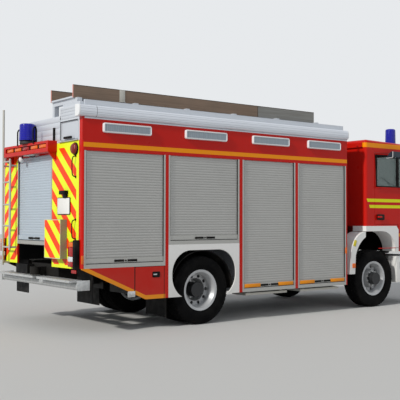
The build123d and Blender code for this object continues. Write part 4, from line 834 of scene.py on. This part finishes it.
pipes = {
    "stalk": (((-0.085, 0.4, 2.462), (-0.085, 0.4, 2.425), (-0.085, 0.445, 2.42)), 0.02),
    "cable": (((-0.05, 0.27, 2.462), (-0.05, 0.22, 2.44), (-0.06, 0.06, 2.425), (-0.05, 0.03, 2.462)), 0.03),
}
boxFoot = ("zinc", (-0.12, -0.03, 2.446), (-0.02, 0.3, 2.4605), 0.003, 1)


def beaconShapes(place, size):
    # foot, rim and dome in shares of radius and height; the fluted dome leans in slightly and rounds over:
    # radius 0.94 * cos(t)^0.3, height 0.9 to 1 with sin(t)
    least = (beaconRows["least"], 0)
    foot, rim = (np.maximum(np.array(beaconRows[part]) * size, least) for part in ("foot", "rim"))
    t = np.linspace(0, pi / 2, 9)
    top = np.stack([0.94 * np.cos(t) ** 0.3, 0.9 + 0.1 * np.sin(t)], -1) * size
    top[-1, 0] = 0.001
    dome = np.vstack([np.array(beaconRows["wall"]) * size, top])
    return [*painted("iron", lathe(foot, place, sides=40)), *painted("black", lathe(rim, place, sides=40)),
            *painted("blue", lathe(dome, place, sides=96, flutes=24, depth=0.012))]


(y0, y1), (z0, z1) = box["y"], box["z"]
w, middle = y1 - y0, (z0 + z1) / 2
slotZ = middle + box["lift"]
warning = [stack((-0.0005, (y0 + y1) / 2, middle), rearward, (w, z1 - z0), box["rows"])]
(x0, x1), (dy, dz) = box["panel"], box["border"]
warning += painted("black", bar((x0, y0 + dy, slotZ - dz), (x1, y1 - dy, slotZ + dz), 0.001, 1))
pitch = (w - 2 * boxLamp["margin"]) / boxLamp["count"]
for number in range(boxLamp["count"]):
    place = (boxLamp["x"], y0 + boxLamp["margin"] + (number + 0.5) * pitch, slotZ)
    warning += painted("tail" if number == 2 else "amber",
                       stack(place, rearward, (pitch - boxLamp["gap"], boxLamp["height"]), boxLamp["rows"]))
warning += [prism(gusset["outline"], y, y + gusset["thick"]) for y in gusset["y"]]
warning += beaconShapes(**beacon)
(x0, x1), low, high = guard["x"], guard["low"], guard["high"]
drop, bend = guard["drop"], guard["bend"]
for y in guard["y"]:
    hoop = bent([(x0, y, low), (x0, y, high - drop), (x0 + bend, y, high),
                 (x1 - bend, y, high), (x1, y, high - drop), (x1, y, low)], bend)
    warning += painted("black", tube(hoop, guard["radius"]))
warning += painted("lampFrame", lathe(workLamp["profile"], workLamp["place"], workLamp["axis"], 28))
warning += painted("black", *[tube(bent(path, bend), 0.008) for path, bend in pipes.values()]) + bars(boxFoot)
piece("warning_box", warning, "chassis", "red", replaces=["warning_bar"])
print("lamps and warning box done")


# Rear wall: grab handles, blank plate and its lamp, hatch seal and handle, planks on the raised roof block.
grab = {"y": -1.075, "bow": 0.048, "spans": ((2.095, 2.375), (1.27, 1.53)), "radius": 0.0072, "lean": 0.018,
        "foot": 0.012, "bend": 0.07, "washer": ((0.001, 0), (0.017, 0), (0.015, 0.006), (0.001, 0.006))}
plateFrame = {"place": (rearSkin, -0.752, 1.712), "size": (0.345, 0.215),
              "rows": ((-0.018, 0.016, 0), (-0.018, 0.016, 0.01), (-0.006, 0.012, 0.012))}
plate = {"place": (-0.0115, -0.752, 1.712), "size": (0.345, 0.215),
         "rows": ((0, 0.01, 0), (0, 0.01, 0.0015), (0.004, 0.009, 0.0025))}
rearFittings = {
    "plateLamp": ("black", (-0.055, -0.868, 1.868), (rearSkin, -0.697, 1.921), 0.006, 1),
    "plateCamera": ("black", (-0.03, -0.85, 1.82), (rearSkin, -0.76, 1.872), 0.005, 1),
    "hatchPost": ("black", (-0.03, -0.485, 2.622), (rearSkin, -0.455, 2.8), 0.006, 2),
}
rearRail = ("zinc", (-0.026, -1.15, 2.5805), (rearSkin, -0.62, 2.593), 0.003, 1)
handles = []
for low, high in grab["spans"]:
    y, bow = grab["y"], -grab["bow"]
    foot, bend, leant = grab["foot"], grab["bend"], y + grab["lean"]
    path = [(0.004, y, low), (bow, y, low + foot), (bow, leant, low + bend),
            (bow, leant, high - bend), (bow, y, high - foot), (0.004, y, high)]
    handles.append(tube(bent(path, 0.03), grab["radius"]))
    handles += [lathe(grab["washer"], (rearSkin, y, z), rearward, 20) for z in (low, high)]
handles += [plateOf(plateFrame, rearward), *bars(*rearFittings.values())]
handles += painted("plate", plateOf(plate, rearward)) + bars(rearRail)
piece("rear_handles", handles, "chassis", "black")

hatchSeal = {"x": (-0.002, 0.004), "side": 0.002, "edge": (0.003, 0.012), "radius": 0.001}
hatchHandle = {"x": (-0.03, 0.002), "y": (-1.0, -0.8), "z": (0.01, 0.04), "radius": 0.008}
(x, yLow, zLow), (_, yHigh, zHigh) = boxAt("rear_hatch")
(out, into), side, (near, far) = hatchSeal["x"], hatchSeal["side"], hatchSeal["edge"]
low, high = np.transpose([hatchHandle[key] for key in "xyz"]) + [x, 0, zLow]
piece("hatch_trim", [
    bar((x + out, yLow + side, zHigh - far), (x + into, yHigh - side, zHigh - near), hatchSeal["radius"], 1),
    bar((x + out, yHigh - far, zLow + side), (x + into, yHigh - near, zHigh - near), hatchSeal["radius"], 2),
    bar(low, high, hatchHandle["radius"], 1),
], "hatch", "black")

plank = {"proud": -0.0035, "gap": 0.0035, "radius": 0.002, "y": (-0.645, 0.352),
         "lines": (2.606, 2.7, 2.785, 2.868, 2.948)}
batten = {"y": (-1.165, -0.625), "starts": (2.892, 2.936, 2.98, 3.016), "height": 0.04}
gap, lines = plank["gap"], plank["lines"]
rows = [(plank["y"], low + gap, high - gap) for low, high in zip(lines, lines[1:])]
rows += [(batten["y"], z, z + batten["height"]) for z in batten["starts"]]
planks = [bar((plank["proud"], y0, low), (rearSkin, y1, high), plank["radius"], 1) for (y0, y1), low, high in rows]
piece("roof_planks", planks, "chassis", "roof")


# Side details: latch recesses, skirt fittings, reflector and lamp on the front mudguards.
fitting = {"place": (0.766, sideSkin, 0.513), "size": (0.118, 0.08), "knobPlace": (0.766, -1.2573, 0.513),
           "rows": ((0, 0.008, 0), (0, 0.008, 0.005), (0.01, 0.006, 0.007)),
           "knob": ((0.001, 0), (0.018, 0), (0.018, 0.006), (0.012, 0.01), (0.001, 0.01))}
latch = {"place": (1.172, sideSkin, 0.766), "size": (0.126, 0.08), "rows": (
    (0, 0.012, 0), (0, 0.012, 0.004), (0.01, 0.01, 0.006), (0.022, 0.008, 0.006), (0.026, 0.007, 0.002))}
latchBar = ("steel", (1.125, -1.2575, 0.758), (1.185, -1.252, 0.776), 0.002, 0)
reflector = {"place": (5.289, -1.2403, 1.128), "size": (0.062, 0.108), "up": (0.33, 0, 0.944),
             "rows": ((0, 0.01, 0), (0, 0.01, 0.004), (0.008, 0.008, 0.006))}
guardLamp = ("amber", (5.222, -1.25, 0.706), (5.296, -1.2403, 0.782), 0.004, 0)
knob = lathe(fitting["knob"], fitting["knobPlace"], sideways, 24)
piece("skirt_fittings", both([plateOf(fitting, sideways), knob]), "chassis", "steel")
latches = [plateOf(latch, sideways), *bars(latchBar)]
for side, shapes in (("right", latches), ("left", [mirrored(shape) for shape in latches])):
    piece(f"flap_latch_{side}", shapes, f"flap_{side}", "black")

guardRules = [("white", lambda c, lo, hi: (c[:, 0] > 5.12) & (c[:, 2] > 0.595))]
mark = plateOf(reflector, sideways, reflector["up"])
dress("mudguard_set", "mudguards", guardRules, "chassis", "black",
      both(painted("reflector", mark)) + both(bars(guardLamp)))

# Bumpers: zinc behind with one black step pad, white in front with a black lower edge, amber lamps.
bumperRules = [
    ("black", lambda c, lo, hi: (c[:, 0] < 1) & (np.abs(c[:, 1] - 0.545) < 0.196) & (c[:, 2] > 0.735)),
    ("zinc", lambda c, lo, hi: c[:, 0] < 1),
    ("black", lambda c, lo, hi: c[:, 2] < 0.47),
]
endPlate = ("zinc", (-0.045, -1.2035, 0.594), (0.148, -1.1995, 0.728), 0.001, 0)
bumperLamp = ("amber", (7.262, -1.15, 0.6), (7.2895, -0.98, 0.7), 0.006, 1)
dress("bumper_set", "bumpers", bumperRules, "chassis", "white",
      both(bars(endPlate)) + both(bars(bumperLamp)))

# Roof tray: boards of the slides, aluminium floor and feet, the bracket that stands on the right board.
bracket = {"upright": ("ladder", (0.722, -0.9945, 3.17), (0.812, -0.9902, 3.336), 0.002, 2),
           "foot": ("ladder", (0.722, -1.01, 3.166), (0.812, -0.9902, 3.174), 0.002, 0)}
dress("roof_tray_set", "roof_tray", [("tray", lambda c, lo, hi: hi[2] > 3.3)], "chassis", "roof",
      bars(*bracket.values()))
dress("ladder_set", "ladder_and_steps", [], "chassis", "ladder")
print("rear wall, sides and roof done")


# Cab: doors with panes, seals, handles; kerb mirror; fittings; wipers; seats.
door = {"window": (5.868, 6.726, 2.129, 2.657), "margin": 0.012, "skin": 1.242, "pane": 0.012, "seal": 0.022,
        "sealDepth": (-0.004, 0.006)}
handlePlate = {"place": (5.963, -1.242, 1.575), "size": (0.2, 0.1),
               "rows": ((0, 0.02, 0), (0, 0.02, 0.003), (0.012, 0.018, 0.005))}
doorBars = {
    "handle": ("cab", (5.872, -1.262, 1.563), (5.985, -1.245, 1.595), 0.006, 0),
    "ridge": ("cab", (5.822, -1.247, 2.092), (6.8, -1.238, 2.106), 0.004, 0),
    "foot": ("cab", (5.9, -1.245, 1.02), (6.75, -1.238, 1.032), 0.002, 0),
    "windowBar": ("rubber", (6.4, -1.24, 2.125), (6.47, -1.22, 2.661), 0.004, 2),
}
kerbEdge = {"path": ((6.079, -1.4185, 2.733), (6.079, -1.4185, 2.6235), (6.079, -1.277, 2.6235)), "bend": 0.02,
            "radius": 0.0045}


def inWindow(c):
    # true for middles inside the window and its margin
    x0, x1, z0, z1 = door["window"]
    margin = door["margin"]
    return (c[:, 0] > x0 - margin) & (c[:, 0] < x1 + margin) & (c[:, 2] > z0 - margin) & (c[:, 2] < z1 + margin)


def outY(c):
    # the middles' distance from the truck's middle plane
    return np.abs(c[:, 1])


doorRules = [
    ("glass", lambda c, lo, hi: (hi[1] - lo[1] < door["pane"]) & inWindow(c)),
    ("mirror", lambda c, lo, hi: (outY(c) > 1.262) | (outY(c) > door["skin"] + 0.001) & (c[:, 2] > 2.5)),
    ("rubber", lambda c, lo, hi: inWindow(c) & (outY(c) < door["skin"] - 0.002)),
]


def doorTrim():
    # rubber frame round the window, handle plate, bars; all on the right side
    x0, x1, z0, z1 = door["window"]
    s, y = door["seal"], [-door["skin"] + depth for depth in door["sealDepth"]]
    sides = (((x0 - s, x1 + s), (z0 - s, z0), 0), ((x0 - s, x1 + s), (z1, z1 + s), 0),
             ((x0 - s, x0), (z0 - s, z1 + s), 2), ((x1, x1 + s), (z0 - s, z1 + s), 2))
    shapes = painted("rubber", *[bar(*np.transpose([x, y, z]), 0.003, along) for x, z, along in sides])
    return shapes + painted("black", plateOf(handlePlate, sideways)) + bars(*doorBars.values())


kerbTube = tube(bent(kerbEdge["path"], kerbEdge["bend"]), kerbEdge["radius"])
dress("door_panel_right", "cab_door_right", doorRules, "door_right", "cab",
      doorTrim() + painted("lampFrame", kerbTube))
dress("door_panel_left", "cab_door_left", doorRules, "door_left", "cab",
      [mirrored(shape) for shape in doorTrim()])

mirrorArm = {"x": 6.945, "y": (-1.2205, -1.262), "z": (1.9625, 2.2925), "radius": 0.011}
mirror = {"place": (6.93, -1.35, 2.115), "size": (0.18, 0.43), "rows": (
    (0.05, 0.05, 0.03), (0.01, 0.05, 0.018), (0, 0.05, 0.0), (0, 0.05, -0.022), (0.015, 0.045, -0.03))}
mirrorGlass = {"place": (6.9, -1.35, 2.115), "size": (0.15, 0.395), "rows": ((0, 0.03, -0.004), (0, 0.03, 0.0))}
headlamp = {"place": (7.231, -0.95, 1.1), "size": (0.34, 0.18), "lenses": (-0.88, -1.02), "rows": (
    (0, 0.03, 0), (0, 0.03, 0.03), (0.02, 0.025, 0.0385),
    ((0.05, 0.04), 0.02, 0.0385), ((0.06, 0.05), 0.02, 0.02)),
    "lens": ((0.001, 0.034), (0.03, 0.032), (0.052, 0.024), (0.056, 0.018), (0.001, 0.018))}
grille = {"x": 7.2305, "z": (1.0725, 1.2125, 1.3525, 1.4925), "size": (1.48, 0.105), "rows": (
    (0, 0.014, 0), (0, 0.014, 0.016), ((0.02, 0.025), 0.012, 0.026), ((0.03, 0.055), 0.01, 0.0275))}
cabBeacon = {"x": 6.85, "y": (-0.74, 0.74), "z": 2.904, "size": (0.098, 0.336)}
x, (y0, y1) = mirrorArm["x"], mirrorArm["y"]
fittings = both([
    *[tube([(x, y0, z), (x, y1, z)], mirrorArm["radius"]) for z in mirrorArm["z"]],
    plateOf(mirror, ahead), *painted("mirrorGlass", plateOf(mirrorGlass, rearward)), plateOf(headlamp, ahead),
    *painted("clear", *[lathe(headlamp["lens"], (7.231, y, 1.1), ahead, 32) for y in headlamp["lenses"]]),
])
fittings += [stack((grille["x"], 0, z), ahead, grille["size"], grille["rows"]) for z in grille["z"]]
for y in cabBeacon["y"]:
    fittings += beaconShapes((cabBeacon["x"], y, cabBeacon["z"]), cabBeacon["size"])
piece("cab_front_fittings", fittings, "cab", "black", replaces=["cab_fittings"])

# each wiper: (x, y from its pivot, z) along the arm and along the blade
wiper = {"pivots": (-0.72, 0.05, 0.72), "arm": ((7.175, 0, 1.86), (7.172, 0.1, 2.02), (7.13, 0.36, 2.34)),
         "blade": ((7.152, 0.12, 2.17), (7.128, 0.46, 2.36)), "bend": 0.05}
wipers = []
for y in wiper["pivots"]:
    arm, blade = (np.array(wiper[part]) + [0, y, 0] for part in ("arm", "blade"))
    wipers += [tube(bent(arm, wiper["bend"]), 0.008, 8), tube(blade, 0.007, 6)]
print("cab fittings done")

seatRules = [("fabric", lambda c, lo, hi: (lo[0] > 5.6) & (hi[0] < 6.42) & (lo[2] > 1.3))]
dress("cab_inside", "cab_interior", seatRules, "cab", "black")
dress("mast_lamp_head", "mast_head", [], "mast_top", "black")


# Wheels: tyre profile turned round the axle, tread grooves and shoulder lugs cut into the crown, nuts, hub plate.
axleZ = 0.5
tyre = {"half": 0.149, "radius": 0.4995, "around": 288, "crownHalf": 0.118, "crownDrop": 0.0045, "samples": 60,
        "wall": ((0.108, 0.286), (0.1145, 0.3), (0.12, 0.309), (0.134, 0.33), (0.1465, 0.362), (0.149, 0.39),
                 (0.1475, 0.42), (0.143, 0.448), (0.1385, 0.466), (0.1355, 0.48), (0.129, 0.4895),
                 (0.12, 0.4945)),
        "inside": ((-0.1, 0.2835), (0.1, 0.2835)), "treadFrom": 0.455, "treadHalf": 0.1395,
        "grooves": (-0.062, 0.0, 0.062), "grooveWidth": 0.0045, "grooveDepth": 0.011,
        "lugs": 48, "lugDepth": 0.009, "lugShift": 0.22, "lugSlant": 1.4,
        "outer": (0.17, 0.066), "inner": (0.1, 0.058)}


def tyreShape(x, y):
    # half section: bead, bulged wall, rounded shoulder, slightly crowned tread; radius then loses a bell at each
    # groove line and a step wherever the lug's share of a turn is small
    wall = np.array(tyre["wall"])
    reach = np.linspace(tyre["crownHalf"], -tyre["crownHalf"], tyre["samples"])
    crown = np.stack([reach, tyre["radius"] - tyre["crownDrop"] * (reach / tyre["crownHalf"]) ** 2], -1)
    section = np.vstack([wall, crown, wall[::-1] * [-1, 1], tyre["inside"]])
    angle = turns(tyre["around"])
    across, radius = section[:, :1], np.repeat(section[:, 1:], len(angle), 1)
    out = np.abs(across)
    groove = sum(np.exp(-((across - line) / tyre["grooveWidth"]) ** 2) for line in tyre["grooves"])
    turn = angle[None] * tyre["lugs"] / (2 * pi)
    share = np.mod(turn + tyre["lugShift"] * np.sign(across) + tyre["lugSlant"] * out, 1.0)
    (outerShare, outerFrom), (innerShare, innerTo) = tyre["outer"], tyre["inner"]
    lug = (share < outerShare) & (out > outerFrom) | (np.mod(share + 0.5, 1.0) < innerShare) & (out < innerTo)
    onTread = (radius > tyre["treadFrom"]) & (out < tyre["treadHalf"])
    radius = radius - onTread * (np.clip(groove, 0, 1) * tyre["grooveDepth"] + lug * tyre["lugDepth"])
    place = [x + radius * np.sin(angle), np.repeat(y + across, len(angle), 1), axleZ + radius * np.cos(angle)]
    return np.stack(place, -1).reshape(-1, 3), gridFaces(len(section), len(angle), closeRows=True)


nut = {"count": 10, "start": 0.31, "ring": 0.1235, "flange": {"front": 1.133, "rear": 0.919},
       "profile": ((0.001, -0.001), (0.01875, -0.001), (0.01875, 0.004), (0.015, 0.005), (0.015, 0.021),
                   (0.012, 0.024), (0.001, 0.024))}
hub = {"face": {"front": 1.24, "rear": 1.11},
       "profile": ((0.001, -0.03), (0.062, -0.03), (0.062, -0.0008), (0.001, -0.0008))}
for end in ("front", "rear"):
    for side, sign in (("right", -1), ("left", 1)):
        low, high = (corner[1] for corner in boxAt(f"tyre_{end}_{side}"))
        rows = [(low + high) / 2] if end == "front" else [low + tyre["half"], high - tyre["half"]]
        x, out, wheel = axleX[end], (0, sign, 0), f"wheel_{end}_{side}"
        piece(f"road_tyre_{end}_{side}", [tyreShape(x, y) for y in rows], wheel, "tyre", sharp=40,
              replaces=[f"tyre_{end}_{side}"])
        parts = []
        for q in turns(nut["count"]) + nut["start"]:
            centre = (x + nut["ring"] * cos(q), sign * nut["flange"][end], axleZ + nut["ring"] * sin(q))
            parts.append(lathe(nut["profile"], centre, out, 6))
        parts += painted("iron", lathe(hub["profile"], (x, sign * hub["face"][end], axleZ), out, 32))
        piece(f"wheel_nuts_{end}_{side}", parts, wheel, "steel")
piece("wiper_arms", wipers, "cab", "black")
print("wheels done")


# Camera fitted to the photograph, pale floor, plain light.
view = {"place": (-5.005, -10.358, 1.552), "yaw": 52.68, "pitch": 1.32, "roll": 0.116, "focal": 786.4,
        "frame": 400}
yaw, pitch, roll = (radians(view[key]) for key in ("yaw", "pitch", "roll"))
forward = Vector((cos(pitch) * cos(yaw), cos(pitch) * sin(yaw), sin(pitch)))
level = Vector((sin(yaw), -cos(yaw), 0))
upward = level.cross(forward)
right = level * cos(roll) + upward * sin(roll)
top = upward * cos(roll) - level * sin(roll)
camera = placed("camera", bpy.data.cameras.new("camera"))
camera.data.sensor_width = 36
camera.data.lens = 36 * view["focal"] / view["frame"]
camera.data.clip_end = 200
turn = Matrix((right, top, -forward)).transposed().to_4x4()
camera.matrix_world = Matrix.Translation(Vector(view["place"]) + Vector((rearX, 0, 0))) @ turn
scene.camera = camera

ground = {"reach": 60, "colour": "floor"}
r = ground["reach"]
floorMesh = bpy.data.meshes.new("floor")
floorMesh.from_pydata([(-r, -r, 0), (r, -r, 0), (r, r, 0), (-r, r, 0)], [], [(0, 1, 2, 3)])
floorMesh.materials.append(Surface("floorPale").finish(ground["colour"], 0.9))
placed("floor", floorMesh)

lights = {
    "sun": {"from": (-0.82, -0.14, 0.52), "strength": 2.5, "angle": 3, "colour": (1.0, 0.97, 0.92)},
    "fill": {"from": (0.1, -0.9, 0.45), "strength": 0.22, "angle": 80, "colour": (0.95, 0.97, 1.0)},
}
for key, light in lights.items():
    data = bpy.data.lights.new(key, "SUN")
    data.energy = light["strength"]
    data.angle = radians(light["angle"])
    data.color = light["colour"]
    placed(key, data).rotation_euler = Vector(light["from"]).to_track_quat("Z", "Y").to_euler()

sky = {"light": (0.9, 0.94, 1.0), "strength": 0.4, "seen": (0.8, 0.82, 0.84)}
world = bpy.data.worlds.new("world")
scene.world = world
world.use_nodes = True
tree = world.node_tree
plain = tree.nodes["Background"]
plain.inputs[0].default_value = (*sky["light"], 1)
plain.inputs[1].default_value = sky["strength"]
seen = tree.nodes.new("ShaderNodeBackground")
seen.inputs[0].default_value = (*sky["seen"], 1)
rays = tree.nodes.new("ShaderNodeLightPath").outputs
kinds = ("Camera", "Glossy", "Transmission")
looked, shining, through = (Value(tree, rays[f"Is {kind} Ray"]) for kind in kinds)
choose = tree.nodes.new("ShaderNodeMixShader")
wire(tree, choose.inputs[0], looked | shining | through)
tree.links.new(plain.outputs[0], choose.inputs[1])
tree.links.new(seen.outputs[0], choose.inputs[2])
tree.links.new(choose.outputs[0], tree.nodes["World Output"].inputs[0])
scene.view_settings.view_transform = "Standard"
print("camera and light ready")
